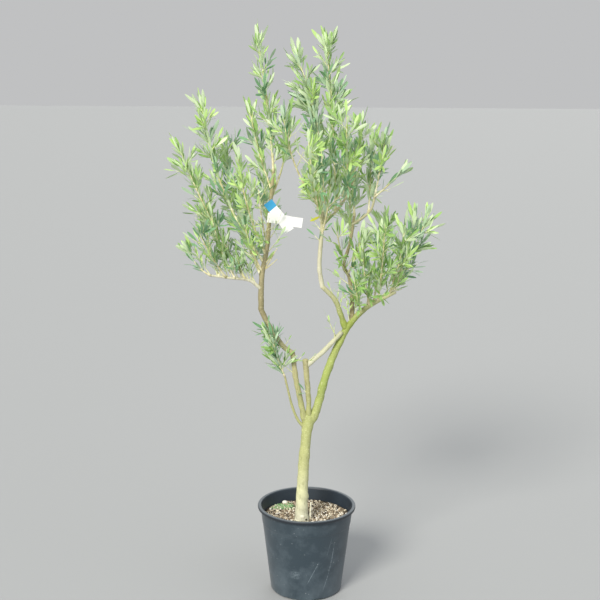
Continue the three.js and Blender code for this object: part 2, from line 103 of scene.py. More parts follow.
def gridFaces(rows, columns):
    # quads between rings of a closed tube of points, with a fan to one pole at each end
    ring = np.arange(rows - 1)[:, None] * columns
    near = np.arange(columns)[None, :]
    far = (near + 1) % columns
    quads = np.stack([ring + near, ring + far, ring + far + columns, ring + near + columns], -1)
    start, end, last = rows * columns, rows * columns + 1, (rows - 1) * columns
    near, far = near[0], far[0]
    startFan = np.stack([np.full(columns, start), far, near], -1)
    endFan = np.stack([np.full(columns, end), last + near, last + far], -1)
    return quads.reshape(-1, 4).tolist() + startFan.tolist() + endFan.tolist()


def turnedSurface(outline, sides, lift=None):
    # P(i, a) = (r(i) cos a, r(i) sin a, z(i) + lift(i, a)) for an outline that starts and ends on the axis
    outline = np.asarray(outline, float)
    turn = 2 * pi * np.arange(sides) / sides
    radius, height = outline[1:-1, 0, None], outline[1:-1, 1, None]
    z = height + (0 if lift is None else lift(radius, height, turn)) + 0 * turn
    points = np.stack([radius * np.cos(turn), radius * np.sin(turn), z], -1).reshape(-1, 3)
    poles = [[0, 0, outline[0, 1]], [0, 0, outline[-1, 1]]]
    return np.vstack([points, poles]), gridFaces(len(outline) - 2, sides)


def framesAlong(path, reference=None):
    # unit tangent, side and up at each point; the side is square to the reference, or else to the axis that
    # the path follows least
    tangent = np.gradient(path, axis=0)
    tangent /= np.linalg.norm(tangent, axis=1)[:, None]
    if reference is None:
        reference = np.eye(3)[np.abs(tangent).max(0).argmin()]
    side = np.cross(reference, tangent)
    side /= np.linalg.norm(side, axis=1)[:, None]
    return tangent, side, np.cross(tangent, side)


def sweptSurface(path, offsets, reference=None):
    # P(s, k) = path(s) + x(s, k) side(s) + y(s, k) up(s), square to the path, closed by a pole at each end
    side, up = framesAlong(path, reference)[1:]
    points = path[:, None] + offsets[..., :1] * side[:, None] + offsets[..., 1:] * up[:, None]
    points = np.vstack([points.reshape(-1, 3), path[:1], path[-1:]])
    return points, gridFaces(len(path), offsets.shape[1])


def roundTube(path, radius, sides):
    # x = r(s) cos a, y = r(s) sin a; radius may also vary with a
    turn = 2 * pi * np.arange(sides) / sides
    radius = np.asarray(radius, float)
    radius = radius[:, None] if radius.ndim == 1 else radius
    offsets = np.stack([radius * np.cos(turn), radius * np.sin(turn)], -1)
    return sweptSurface(path, offsets)


def joined(parts):
    # several (points, faces) into one
    points, faces, shift = [], [], 0
    for partPoints, partFaces in parts:
        points.append(partPoints)
        faces += [[corner + shift for corner in face] for face in partFaces]
        shift += len(partPoints)
    return np.vstack(points), faces


def curveThrough(points, spacing):
    # centripetal Catmull-Rom curve through the points, at an even spacing along it
    p = np.asarray(points, float)
    p = np.vstack([2 * p[0] - p[1], p, 2 * p[-1] - p[-2]])
    gap = np.maximum(np.linalg.norm(np.diff(p, axis=0), axis=1) ** 0.5, 1e-6)[:, None]
    a, b, c, d = p[:-3], p[1:-2], p[2:-1], p[3:]
    before, here, after = gap[:-2], gap[1:-1], gap[2:]
    leave = here * ((b - a) / before - (c - a) / (before + here) + (c - b) / here)
    arrive = here * ((c - b) / here - (d - b) / (here + after) + (d - c) / after)
    t = np.linspace(0, 1, 33)[None, :-1, None]
    b, c, leave, arrive = b[:, None], c[:, None], leave[:, None], arrive[:, None]
    bend = (2 * b - 2 * c + leave + arrive) * t ** 3 + (3 * c - 3 * b - 2 * leave - arrive) * t ** 2
    dense = np.vstack([(b + leave * t + bend).reshape(-1, 3), p[-2]])
    along = np.append(0, np.cumsum(np.linalg.norm(np.diff(dense, axis=0), axis=1)))
    even = np.linspace(0, along[-1], max(3, round(along[-1] / spacing) + 1))
    return np.stack([np.interp(even, along, dense[:, axis]) for axis in range(3)], -1)


def pointAt(path, place):
    # the point at a share of an evenly spaced path
    even = np.linspace(0, 1, len(path))
    return np.array([np.interp(place, even, path[:, axis]) for axis in range(3)])


def numberAt(path, place):
    # the number of the point that is nearest to a share of the path
    return min(round(place * (len(path) - 1)), len(path) - 1)


def heading(bearing, rise):
    # a unit step from its bearing, round from x, and its rise over the level, both in degrees
    bearing, rise = radians(bearing), radians(rise)
    return np.array([cos(rise) * cos(bearing), cos(rise) * sin(bearing), sin(rise)])


def turned(straight, outward, angle):
    # the direction that leans from straight towards outward by an angle
    return straight * cos(angle) + outward * sin(angle)


def distances(points, beads):
    return np.linalg.norm(points[:, None] - beads[None], axis=2)


def ripple(seed, along, turn, longest, shortest, harmonics, count=22):
    # sum of seeded cosines of the distance along a limb and the turn round it, so it closes round the limb
    pick = np.random.default_rng(seed)
    total = 0
    for wave in pick.uniform(1 / longest, 1 / shortest, count):
        around = pick.integers(0, harmonics + 1)
        total = total + np.cos(2 * pi * wave * along + around * turn + pick.uniform(0, 2 * pi))
    return total / count ** 0.5


def ballSurface(middle, halves, rows=13, sides=24):
    # P(w, a) = middle + (hx sin w cos a, hy sin w sin a, hz cos w), a ball with three unlike half widths
    way = np.linspace(0, pi, rows + 2)[1:-1, None]
    turn = (2 * pi * np.arange(sides) / sides)[None, :]
    ball = np.stack([-np.sin(way) * np.cos(turn), np.sin(way) * np.sin(turn), np.cos(way) + 0 * turn], -1)
    ball = np.vstack([ball.reshape(-1, 3), [[0, 0, 1], [0, 0, -1]]])
    return ball * halves + middle, gridFaces(rows, sides)


def plainEarth(name, colours, rough, grain):
    # earth, grit, moss, bare wood or stone: matt and grainy, in patches of tone
    material, tree, shader = newMaterial(name)
    place = addNode(tree, "TexCoord").outputs["Object"]
    noise = addNode(tree, "TexNoise", {"Scale": 1 / (grain * mm), "Detail": 4.0}, {"Vector": place})
    stops = [(0.35 + 0.3 * i / max(len(colours) - 1, 1), linear(colour)) for i, colour in enumerate(colours)]
    tone = addNode(tree, "ValToRGB", {"stops": stops}, {"Fac": noise.outputs[0]})
    tree.links.new(tone.outputs[0], shader.inputs["Base Color"])
    shader.inputs["Roughness"].default_value = rough
    bump = addNode(tree, "Bump", {"Strength": 0.6, "Distance": 0.5 * mm}, {"Height": noise.outputs[0]})
    tree.links.new(bump.outputs[0], shader.inputs["Normal"])
    return material


# Camera: the photograph's view, fitted to the paving and the wall tiles behind the tree. It stands lower
# than the crown's top and looks down a little. Focal length, size and the pot's foot are in pixels.
camera = {"height": 1191.3, "pitch": 10.65, "roll": 0.35, "focal": 1060.2, "size": 600,
          "foot": (306, 585.5), "sensor": 36}


def cameraAxes():
    pitch, roll = radians(camera["pitch"]), radians(camera["roll"])
    level, ahead = Vector((1, 0, 0)), Vector((0, cos(pitch), -sin(pitch)))
    upright = level.cross(ahead)
    return level * cos(roll) + upright * sin(roll), upright * cos(roll) - level * sin(roll), ahead


cameraRight, cameraUp, cameraAhead = [np.array(axis) for axis in cameraAxes()]


def sightThrough(x, y):
    # the line of sight through a pixel, one unit long along the camera's own axis
    across, down = (x - camera["size"] / 2) / camera["focal"], (y - camera["size"] / 2) / camera["focal"]
    return cameraAhead + cameraRight * across - cameraUp * down


# The camera stands at its height on the line of sight through the pot's foot, which is the origin
footSight = sightThrough(*camera["foot"])
cameraPlace = np.round(footSight * camera["height"] / footSight[2], 2)


def fromPhoto(x, y, depth):
    # a place seen in the photo: its pixel, and the depth behind the pot's middle in mm, which is guessed
    sight = sightThrough(x, y)
    place = cameraPlace + sight * (depth - cameraPlace[1]) / sight[1]
    place[1] = depth
    return place


def toPhoto(places):
    away = places - cameraPlace
    scale = camera["focal"] / (away @ cameraAhead)
    return camera["size"] / 2 + np.stack([away @ cameraRight * scale, -(away @ cameraUp) * scale], -1)


def makeCamera():
    data = bpy.data.cameras.new("photoCamera")
    data.lens = camera["focal"] / camera["size"] * camera["sensor"]
    data.sensor_width = camera["sensor"]
    holder = bpy.data.objects.new("photoCamera", data)
    turn = Matrix((cameraRight, cameraUp, -cameraAhead)).transposed()
    holder.matrix_world = Matrix.Translation(Vector(cameraPlace) * mm) @ turn.to_4x4()
    bpy.context.scene.collection.objects.link(holder)
    bpy.context.scene.camera = holder


makeCamera()
print("camera set")

# Stage: matt pale grey floor paint, which shows the shadow and no reflection, and soft light
stage = {"floorColour": "#aaadaf", "skyColour": "#f1f2f3", "skyStrength": 0.6, "floorSize": 400}
lamps = [
    {"name": "keyLight", "from": (-0.4, -0.78, 0.62), "power": 3.3, "soft": 22, "colour": "#fffaf0"},
    {"name": "fillLight", "from": (0.75, -0.5, 0.4), "power": 0.35, "soft": 60, "colour": "#f4f8ff"},
    {"name": "backLight", "from": (0.2, 0.8, 0.6), "power": 0.6, "soft": 40, "colour": "#ffffff"},
]


def makeStage():
    size = stage["floorSize"] / 2
    mesh = bpy.data.meshes.new("floor")
    corners = [(-size, -size, 0), (size, -size, 0), (size, size, 0), (-size, size, 0)]
    mesh.from_pydata(corners, [], [(0, 1, 2, 3)])
    material, tree, shader = newMaterial("floorPaint")
    shader.inputs["Base Color"].default_value = linear(stage["floorColour"])
    shader.inputs["Roughness"].default_value = 0.8
    mesh.materials.append(material)
    floor = bpy.data.objects.new("floor", mesh)
    bpy.context.scene.collection.objects.link(floor)
    world = bpy.data.worlds.new("softSky")
    world.use_nodes = True
    sky = next(node for node in world.node_tree.nodes if node.type == "BACKGROUND")
    sky.inputs["Color"].default_value = linear(stage["skyColour"])
    sky.inputs["Strength"].default_value = stage["skyStrength"]
    bpy.context.scene.world = world
    bpy.context.scene.view_settings.view_transform = "Standard"  # a camera's plain contrast
    for lamp in lamps:  # broad far lamps, so the floor is lit evenly
        data = bpy.data.lights.new(lamp["name"], "SUN")
        data.angle = radians(lamp["soft"])
        data.energy = lamp["power"]
        data.color = linear(lamp["colour"])[:3]
        holder = bpy.data.objects.new(lamp["name"], data)
        holder.location = lamp["from"]
        holder.rotation_euler = (-holder.location).to_track_quat("-Z", "Y").to_euler()
        bpy.context.scene.collection.objects.link(holder)


makeStage()
print("stage set")

# Bark: smooth young olive bark, green where it is youngest, tan and cream where it has set.
# It gives a soft satin surface with pale flecks, dark scars and faint streaks along the limb.
# Each colour is by height, as the bark ages upwards from the fork. The stops were set from tones measured in
# the photo at those heights, smoothed, and then corrected against renders.
barks = {
    "greenOliveBark": {
        "heights": [(185, "#d8d8c4"), (250, "#dddeb2"), (330, "#bbbe84"), (440, "#b4bb79"), (520, "#9cad5a"),
                    (600, "#a8b566"), (670, "#97a74d"), (705, "#abb177"), (760, "#cbc9a2")],
        "scar": "#767a44", "fleck": "#ecebc4"},
    "tanOliveBark": {
        "heights": [(430, "#babe80"), (480, "#afb27a"), (560, "#b3b081"), (620, "#a7a47b"), (690, "#938b66"),
                    (800, "#a09874"), (1040, "#b4aa82")],
        "scar": "#6f6342", "fleck": "#ded7b2"},
    "creamOliveBark": {
        "heights": [(560, "#d3d3b8"), (650, "#b9ba99"), (760, "#d8d6bc"), (830, "#cdcab0"), (900, "#c4c09c"),
                    (1020, "#beb890")],
        "scar": "#857a58", "fleck": "#efeedd"},
}
barkGrain = {"patch": 34, "streakWide": 3.2, "streakLong": 26, "fleckWide": 5, "fleckHigh": 2.2, "grit": 1.1}


def makeBark(name, look):
    material, tree, shader = newMaterial(name)
    place = addNode(tree, "TexCoord").outputs["Object"]
    height = addNode(tree, "SeparateXYZ", links={0: place}).outputs["Z"]
    low, high = look["heights"][0][0], look["heights"][-1][0]
    share = addNode(tree, "MapRange", {"From Min": low * mm, "From Max": high * mm}, {"Value": height})
    stops = [((z - low) / (high - low), linear(colour)) for z, colour in look["heights"]]
    base = addNode(tree, "ValToRGB", {"stops": stops}, {"Fac": share.outputs[0]})
    patch = addNode(tree, "TexNoise", {"Scale": 1 / (barkGrain["patch"] * mm), "Detail": 3.0},
                    {"Vector": place})
    shade = addNode(tree, "MapRange", {"To Min": 0.74, "To Max": 1.16}, {"Value": patch.outputs[0]})
    tinted = addNode(tree, "HueSaturation", {}, {"Color": base.outputs[0], "Value": shade.outputs[0]})
    long = barkGrain["streakWide"] / barkGrain["streakLong"]
    slim = addNode(tree, "Mapping", {"Scale": (1, 1, long)}, {"Vector": place})
    streak = addNode(tree, "TexNoise", {"Scale": 1 / (barkGrain["streakWide"] * mm), "Detail": 3.0},
                     {"Vector": slim.outputs[0]})
    scarShare = addNode(tree, "ValToRGB", {"stops": [(0.55, grey(0)), (0.78, grey(0.62))]},
                        {"Fac": streak.outputs[0]})
    scarred = addNode(tree, "Mix", {"data_type": "RGBA", 7: linear(look["scar"])},
                      {0: scarShare.outputs[0], 6: tinted.outputs[0]})
    wide = barkGrain["fleckHigh"] / barkGrain["fleckWide"]
    flat = addNode(tree, "Mapping", {"Scale": (wide, wide, 1)}, {"Vector": place})
    fleck = addNode(tree, "TexNoise", {"Scale": 1 / (barkGrain["fleckHigh"] * mm), "Detail": 1.0},
                    {"Vector": flat.outputs[0]})
    fleckShare = addNode(tree, "ValToRGB", {"stops": [(0.6, grey(0)), (0.72, grey(0.36))]},
                         {"Fac": fleck.outputs[0]})
    coloured = addNode(tree, "Mix", {"data_type": "RGBA", 7: linear(look["fleck"])},
                       {0: fleckShare.outputs[0], 6: scarred.outputs[2]})
    tree.links.new(coloured.outputs[2], shader.inputs["Base Color"])
    gloss = addNode(tree, "MapRange", {"To Min": 0.55, "To Max": 0.85}, {"Value": patch.outputs[0]})
    tree.links.new(gloss.outputs[0], shader.inputs["Roughness"])
    grit = addNode(tree, "TexNoise", {"Scale": 1 / (barkGrain["grit"] * mm), "Detail": 4.0},
                   {"Vector": place})
    relief = addNode(tree, "Math", {"operation": "ADD"}, {0: streak.outputs[0], 1: grit.outputs[0]})
    bump = addNode(tree, "Bump", {"Strength": 0.5, "Distance": 0.6 * mm}, {"Height": relief.outputs[0]})
    tree.links.new(bump.outputs[0], shader.inputs["Normal"])
    return material


barkMaterials = {name: makeBark(name, look) for name, look in barks.items()}

# Limbs: the middle line by places seen in the photo, as the solids have it, the radius at both ends, and how
# the bark looks. The right bough's bark stands aside from its solid, to the right, where the photo has it.
limbs = {
    "trunk": {
        "seen": [(301.3, 521.5, -25), (302.6, 480, -23), (304.6, 452, -19), (307, 432, -15),
                 (308.6, 417, -12)],
        "from": 14.8, "to": 11.6, "bark": "greenOliveBark"},
    "right_bough": {
        "seen": [(308.6, 424, -13), (316, 410, -10), (323.3, 381, -4), (330, 359, 2), (338, 341, 8),
                 (347.5, 326, 12)],
        "aside": (0, 0, 2, 4, 5, 0),
        "from": 10.2, "to": 8.4, "bark": "greenOliveBark", "on": "trunk"},
    "middle_stub": {
        "seen": [(308.5, 419, -16), (308.6, 402, -20), (306.6, 378, -24), (305.4, 359.3, -24)],
        "from": 5.4, "to": 6.9, "bark": "tanOliveBark", "on": "trunk", "tip": 0.3},
    "diagonal_limb": {
        "seen": [(307, 365, -22), (322, 352.5, -15), (341, 333, 0)],
        "from": 5.8, "to": 5.4, "bark": "creamOliveBark", "on": "middle_stub"},
    "left_bough_low": {
        "seen": [(305.5, 424, -14), (300.5, 400, -20), (295.4, 376, -24), (292.6, 353.5, -22)],
        "from": 7, "to": 6, "bark": "tanOliveBark", "on": "trunk"},
    "low_shoot": {
        "seen": [(304.5, 427, -17), (298, 420.5, -22), (292.5, 407, -27), (288.3, 391, -30),
                 (284.8, 377, -31)],
        "from": 3.4, "to": 2.3, "bark": "tanOliveBark", "on": "trunk"},
    "left_bough": {
        "seen": [(292.6, 353, -22), (284.3, 347.3, -18), (269.6, 327, -8), (260.9, 309.5, 0)],
        "from": 5.8, "to": 6.4, "bark": "tanOliveBark"},
    "left_leader": {
        "seen": [(260.9, 309, 0), (262, 276, 8), (267.1, 247.4, 12), (270, 208, 12), (273.6, 172, 8)],
        "from": 6.9, "to": 3.6, "bark": "tanOliveBark"},
    "low_left_branch": {
        "seen": [(261.5, 289, 4), (249.5, 280.6, -2), (231, 278, -8), (211, 275.5, -14)],
        "from": 3.6, "to": 2.5, "bark": "creamOliveBark", "on": "left_leader"},
    "arm_left_low": {
        "seen": [(345, 327, 10), (340.8, 314.5, 8), (335, 299.8, 4), (322.2, 286.5, -4)],
        "from": 6.6, "to": 5.3, "bark": "greenOliveBark", "on": "right_bough"},
    "arm_left": {
        "seen": [(322.2, 286.5, -4), (319.3, 268, -8), (320.4, 247, -6), (323.8, 207, 4)],
        "from": 5.4, "to": 4.3, "bark": "creamOliveBark"},
    "arm_left_fork": {
        "seen": [(323, 222, 0), (334.5, 213.3, 2), (346.5, 196, 4), (353.2, 178, 6)],
        "from": 3.4, "to": 2.5, "bark": "creamOliveBark", "on": "arm_left"},
    "arm_middle": {
        "seen": [(351.5, 322, 12), (352, 302, 16), (348.8, 277, 22), (344, 266.5, 24), (350.3, 242, 26),
                 (354.3, 216, 28)],
        "from": 5.2, "to": 3, "bark": "tanOliveBark", "on": "arm_right"},
    "arm_right": {
        "seen": [(347.5, 327, 12), (357.5, 315.5, 10), (370, 305.5, 6), (394.8, 292.2, -4)],
        "from": 8.2, "to": 3.9, "bark": "greenOliveBark"},
    "arm_right_tip": {
        "seen": [(394.8, 292.5, -4), (394.2, 286, -4), (393.6, 279, -2)],
        "from": 3.7, "to": 3, "bark": "creamOliveBark"},
    "upper_right_arm": {
        "seen": [(353.2, 224, 27), (363, 217.5, 22), (371.5, 209, 14), (375.3, 194, 8)],
        "from": 3.2, "to": 2.5, "bark": "creamOliveBark", "on": "arm_middle"},
}
limbShape = {"ringStep": 2.4, "sides": 40, "flare": 4.5, "flareHeight": 18, "spread": 3.0, "spreadLong": 26,
             "collar": 0.24, "collarLong": 11, "fade": 10, "knotEvery": 46, "knotFirst": 0.6,
             "knotStray": 12, "knotHigh": 0.2, "knotLeast": 0.4, "knotMost": 0.9, "knotLong": 6,
             "knotTight": 2.2, "roundTip": 0.9, "dome": (25, 48, 68, 82),
             "flareLobes": ((0.35, 3, 0.6), (0.2, 5, 2)),    # depth, count and turn
             "swell": 0.05, "swellWaves": (90, 24, 2),       # longest, shortest and most round the limb
             "ridge": 0.022, "ridgeWaves": (60, 9, 9)}
for limb in limbs.values():
    # to the mm, as the solids have it
    limb["path"] = np.round([fromPhoto(*place) for place in limb["seen"]])
    limb["path"][:, 0] += limb.get("aside", 0)
limbPaths = {name: curveThrough(limb["path"], limbShape["ringStep"]) for name, limb in limbs.items()}


def limbRadius(name, share):
    limb = limbs[name]
    return limb["from"] + (limb["to"] - limb["from"]) * share


def comesOut(name):
    # how far along its middle line a limb leaves the skin of the limb that bears it
    bearer = limbs[name]["on"]
    gaps = distances(limbPaths[name], limbPaths[bearer])
    nearest = gaps.argmin(1) / (len(limbPaths[bearer]) - 1)
    return (gaps.min(1) > limbRadius(bearer, nearest)).argmax() * limbShape["ringStep"]


def limbSurface(name, seed):
    # r(s, a) = taper(s) (1 + swell + ridges) + knots, times a collar where the limb leaves its bearer, with
    # half a ball behind the root and a dome over the tip
    path, shape = limbPaths[name], limbShape
    share = np.linspace(0, 1, len(path))[:, None]
    whole = shape["ringStep"] * (len(path) - 1)
    along = share * whole
    turn = (2 * pi * np.arange(shape["sides"]) / shape["sides"])[None, :]
    fade = np.clip(np.minimum(along, whole - along) / shape["fade"], 0, 1)
    relief = shape["swell"] * ripple(seed, along, turn, *shape["swellWaves"])
    relief = relief + shape["ridge"] * ripple(seed + 50, along, turn, *shape["ridgeWaves"])
    radius = limbRadius(name, share) * (1 + fade * relief)
    pick = np.random.default_rng(seed + 100)
    for middle in np.arange(shape["knotEvery"] * shape["knotFirst"], whole, shape["knotEvery"]):
        middle = middle + pick.uniform(-shape["knotStray"], shape["knotStray"])
        facing = pick.uniform(0, 2 * pi)
        mound = np.exp(-((along - middle) / shape["knotLong"]) ** 2
                       + shape["knotTight"] * (np.cos(turn - facing) - 1))
        high = np.minimum(shape["knotHigh"] * radius, shape["knotMost"])
        radius = radius + high * pick.uniform(shape["knotLeast"], 1) * mound * fade
    if "on" in limbs[name]:
        past = (along - comesOut(name)) / shape["collarLong"]
        radius = radius * (1 + shape["collar"] * np.exp(-past ** 2))
    if name == "trunk":
        lobes = 1
        for deep, count, ahead in shape["flareLobes"]:
            lobes = lobes + deep * np.cos(count * turn + ahead)
        radius = radius + shape["flare"] * np.exp(-along / shape["flareHeight"]) * lobes
        radius = radius + shape["spread"] * np.exp(-((whole - along) / shape["spreadLong"]) ** 2)
    dome = np.radians(shape["dome"])[:, None]
    behind, ahead = path[0] - path[1], path[-1] - path[-2]
    root = path[0] + behind / np.linalg.norm(behind) * radius[0].mean() * np.sin(dome[::-1])
    high = radius[-1].mean() * limbs[name].get("tip", shape["roundTip"])
    tip = path[-1] + ahead / np.linalg.norm(ahead) * high * np.sin(dome)
    path = np.vstack([root, path, tip])
    radius = np.vstack([radius[0] * np.cos(dome[::-1]), radius, radius[-1] * np.cos(dome)])
    return roundTube(path, radius, shape["sides"])


for seed, name in enumerate(limbs):
    points, faces = limbSurface(name, seed)
    piece = meshPiece(name + "_bark", points, faces, [barkMaterials[limbs[name]["bark"]]])
    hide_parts(name)
print("limbs made")

# Marks on the trunk's foot: a pale healed cut, and beside it a dark patch that is painted shade of a hollow
footMarks = {
    "cut_knot": {"place": (-10.5, 198), "wide": 11, "high": 8.5, "proud": 1.7,
                 "colours": ("#e4e1c8", "#f3f1e2")},
    # painted shade: a dark dome coloured as the shade inside a hollow
    "painted_hollow_shade": {"place": (-1.5, 190), "wide": 6, "high": 5.5, "proud": 1.4,
                    "colours": ("#3b3326", "#575040")},
}


def makeFootMark(name, mark):
    # a low oval dome on the front of the trunk's skin
    x, z = mark["place"]
    bottom, top = limbs["trunk"]["path"][0][2], limbs["trunk"]["path"][-1][2]
    share = (z - bottom) / (top - bottom)
    axis = pointAt(limbPaths["trunk"], share)
    skin = limbRadius("trunk", share) + limbShape["flare"] * np.exp(-(z - bottom) / limbShape["flareHeight"])
    y = axis[1] - (skin ** 2 - (x - axis[0]) ** 2) ** 0.5
    points, faces = ballSurface((x, y, z), (mark["wide"] / 2, mark["proud"], mark["high"] / 2))
    wood = plainEarth(name + "Wood", mark["colours"], 0.8, 3.0)
    meshPiece(name, points, faces, [wood])


for name, mark in footMarks.items():
    makeFootMark(name, mark)

# Crown: each mass is a stem that leaves a limb, with side twigs, finer twigs and pairs of leaves. Its name,
# its limb, the pixel at which the stem leaves that limb or "tip" for the limb's end, the place at which its
# last leaf ends, how much the stem's rise changes on the way in degrees, and the reach of its leaves.
masses = [
    ("left_low", "low_left_branch", "tip", (181, 248, -30), 40, 52),
    ("left_front", "low_left_branch", (226, 277.6), (189, 214, -85), 15, 62),
    ("left_centre", "low_left_branch", (235, 278.5), (206, 200, -20), 20, 62),
    ("left_long", "low_left_branch", (245, 280), (174, 138, 15), 12, 66),
    ("left_back", "low_left_branch", (219, 276.5), (196, 182, 110), 25, 68),
    ("left_under", "left_leader", (262.3, 272), (238, 198, -35), 25, 60),
    ("left_tall", "left_leader", (262, 262), (198, 91, 45), 34, 66),
    ("left_inner", "left_leader", (265, 254), (233, 141, -60), 25, 66),
    ("left_rear", "left_leader", (262, 278), (222, 131, 140), 30, 72),
    ("leader_front", "left_leader", (267, 245), (256, 175, -105), 30, 62),
    ("leader_back", "left_leader", (268, 232), (264, 158, 130), 30, 68),
    ("leader_left", "left_leader", (271.6, 190), (246, 98, 40), 15, 60),
    ("leader_top", "left_leader", "tip", (256, 23, 5), -8, 60),
    ("leader_right", "left_leader", (271, 198), (293, 105, 60), 30, 60),
    ("leader_spur", "left_leader", (263.6, 266), (281, 245, 0), 10, 34),
    ("crossing", "arm_left", (323, 212), (276, 100, -60), 38, 60),
    ("centre_left", "arm_left", "tip", (295, 41, 0), -25, 66),
    ("centre_right", "arm_left_fork", (336, 212), (326, 28, 45), -8, 66),
    ("centre_low", "arm_left", (321.5, 236), (334, 160, -60), 25, 60),
    ("fork_top", "arm_left_fork", "tip", (366, 106, -10), 10, 62),
    ("centre_front", "arm_left", (322.5, 224), (306, 125, -115), 30, 70),
    ("centre_back", "arm_left", (322, 230), (316, 115, 140), 30, 72),
    ("fork_front", "arm_left_fork", (348, 192), (346, 100, -95), 25, 64),
    ("right_upper", "upper_right_arm", "tip", (388, 120, -15), 5, 62),
    ("lone_twig", "upper_right_arm", (374.5, 197), (413, 162, -30), 5, 44),
    ("right_upper_back", "upper_right_arm", (368, 212), (372, 130, 115), 25, 68),
    ("middle_top", "arm_middle", "tip", (350, 135, 60), -8, 62),
    ("middle_left", "arm_middle", (345, 261), (334, 218, -70), 30, 52),
    ("middle_right", "arm_middle", (347.5, 274), (366, 222, -35), 25, 56),
    ("middle_back", "arm_middle", (350, 242), (350, 160, 150), 30, 70),
    ("right_outer", "arm_right_tip", "tip", (433, 205, -15), 25, 52),
    ("right_mid", "arm_right_tip", (394.3, 288), (419, 204, 60), 20, 62),
    ("right_mid_front", "arm_right", (389, 296.5), (409, 209, -65), 25, 60),
    ("right_front", "arm_right", (378, 301.5), (387, 208, -105), 30, 66),
    ("right_inner", "arm_right", (369, 305.5), (361, 232, -60), 25, 60),
    ("right_low_front", "arm_right", (361, 311.5), (352, 268, -75), 25, 48),
    ("right_back", "arm_right", (374, 303.5), (385, 212, 135), 30, 72),
    ("right_low", "arm_right", (386, 298.2), (416, 258, 60), 20, 50),
    ("low_shoot", "low_shoot", "tip", (267, 322, -50), 14, 50),
]


limbSamples = 400  # on each limb, which puts them closer together than pixels


def sampleLimb(limb):
    # the limb as it is seen, in straight runs between its places
    corners = np.array([fromPhoto(*place) for place in limb["seen"]])
    place = np.linspace(0, len(corners) - 1, limbSamples)
    before = np.minimum(place.astype(int), len(corners) - 2)
    return corners[before] + (corners[before + 1] - corners[before]) * (place - before)[:, None]


def planMass(name, limb, foot, tip, lift, reach):
    # the stem bends evenly from its foot to the tip, so it is longer than the straight way by half the bend
    # over that half's sine. Hundredths, whole degrees and steps of 5 mm are as fine as the photo can tell.
    samples = sampleLimb(limbs[limb])
    number = -1 if foot == "tip" else np.linalg.norm(toPhoto(samples) - foot, axis=1).argmin()
    runs = np.concatenate([[0], np.linalg.norm(np.diff(samples, axis=0), axis=1).cumsum()])
    away = fromPhoto(*tip) - samples[number]
    rise = degrees(atan2(away[2], np.hypot(away[0], away[1])))
    half = radians(lift) / 2
    return {"name": name, "limb": limb, "lift": lift, "reach": reach,
            "at": round(runs[number] / runs[-1], 2),
            "bearing": round(degrees(atan2(away[1], away[0]))),
            "rise": round(rise - lift / 2),
            "length": 5 * round(np.linalg.norm(away) * half / sin(half) / 5)}


masses = [planMass(*row) for row in masses]

# Regions of the crown: the pieces that the masses are joined into, by the start of a mass's name
regions = {
    "left_crown": ("left_", "low_shoot"),
    "leader_crown": ("leader_",),
    "centre_crown": ("crossing", "centre_", "fork_"),
    "right_crown": ("right_", "lone_", "middle_"),
}

growth = {
    "stemPieces": 12, "stemRadius": 2.8, "stemTip": 0.9, "stemMost": 0.92, "stemTaper": 0.8, "slim": 0.75,
    "slimLong": 900, "rootSwell": 0.45, "swellLong": 4, "bareMost": 30, "bareShare": 0.3, "spiral": 2.4,
    "firstTwig": 20, "twigEvery": 21, "twigStray": 0.25, "twigShare": (0.55, 0.9), "twigLean": (36, 54),
    "twigTurn": 0.4, "twigShorter": 0.35, "twigTries": (1, 0.78, 0.58), "twigBare": 0.22, "upBend": 0.16,
    "twigRadius": 1.1, "twigTip": 0.55, "fineRadius": 0.6, "fineTip": 0.45, "fineEvery": 17,
    "fineFrom": 0.25, "fineSpan": 0.6, "fineStray": 0.6, "fineTo": 0.85, "fineTurn": 0.6,
    "fineShare": (0.3, 0.5), "fineLean": (32, 50), "fineBare": 4, "sparser": 2.4,
    "pairEvery": 8.5, "stemPairEvery": 9.5, "pairTurn": 0.35, "leafLean": (18, 44), "tipLean": (4, 14),
    "tipLeaf": 40, "tipSpread": (0.96, 1.06), "topSpread": (0.8, 0.95), "ringStep": 7, "limbGap": 1.5,
    "leafGap": 4.0,
}
leafSize = {"length": 33, "width": 7.4, "lengthSpread": (0.66, 1.14), "widthSpread": (0.74, 1.1),
            "thick": 0.5, "curl": (-0.1, 0.16), "fold": (-0.1, 0.24), "roll": 0.5,
            "shares": (1, 0.78, 0.6), "veins": 2.2}


def diceFor(seed):
    # the next state is (state * 1664525 + 1013904223) mod 2^32
    state = seed * 7919

    def throw(low, high):
        nonlocal state
        state = (state * 1664525 + 1013904223) % 4294967296
        return low + (high - low) * state / 4294967296
    for _ in range(3):
        throw(0, 1)
    return throw


def stemPath(mass):
    # the rise over the level changes evenly from the limb to the tip
    points = [pointAt(limbPaths[mass["limb"]], mass["at"])]
    pieces, run = growth["stemPieces"], mass["length"] - growth["tipLeaf"]
    for i in range(pieces):
        ahead = heading(mass["bearing"], mass["rise"] + mass["lift"] * (i + 0.5) / pieces)
        points.append(points[-1] + ahead * run / pieces)
    return curveThrough(points, growth["ringStep"])


for mass in masses:
    mass["stem"] = stemPath(mass)
limbBeads = np.vstack([path[::2] for path in limbPaths.values()])
limbBeadRadius = np.concatenate([
    limbRadius(name, np.linspace(0, 1, len(path)))[::2] for name, path in limbPaths.items()])
stemBeads = np.vstack([mass["stem"] for mass in masses])
stemOwner = np.concatenate([np.full(len(mass["stem"]), i) for i, mass in enumerate(masses)])


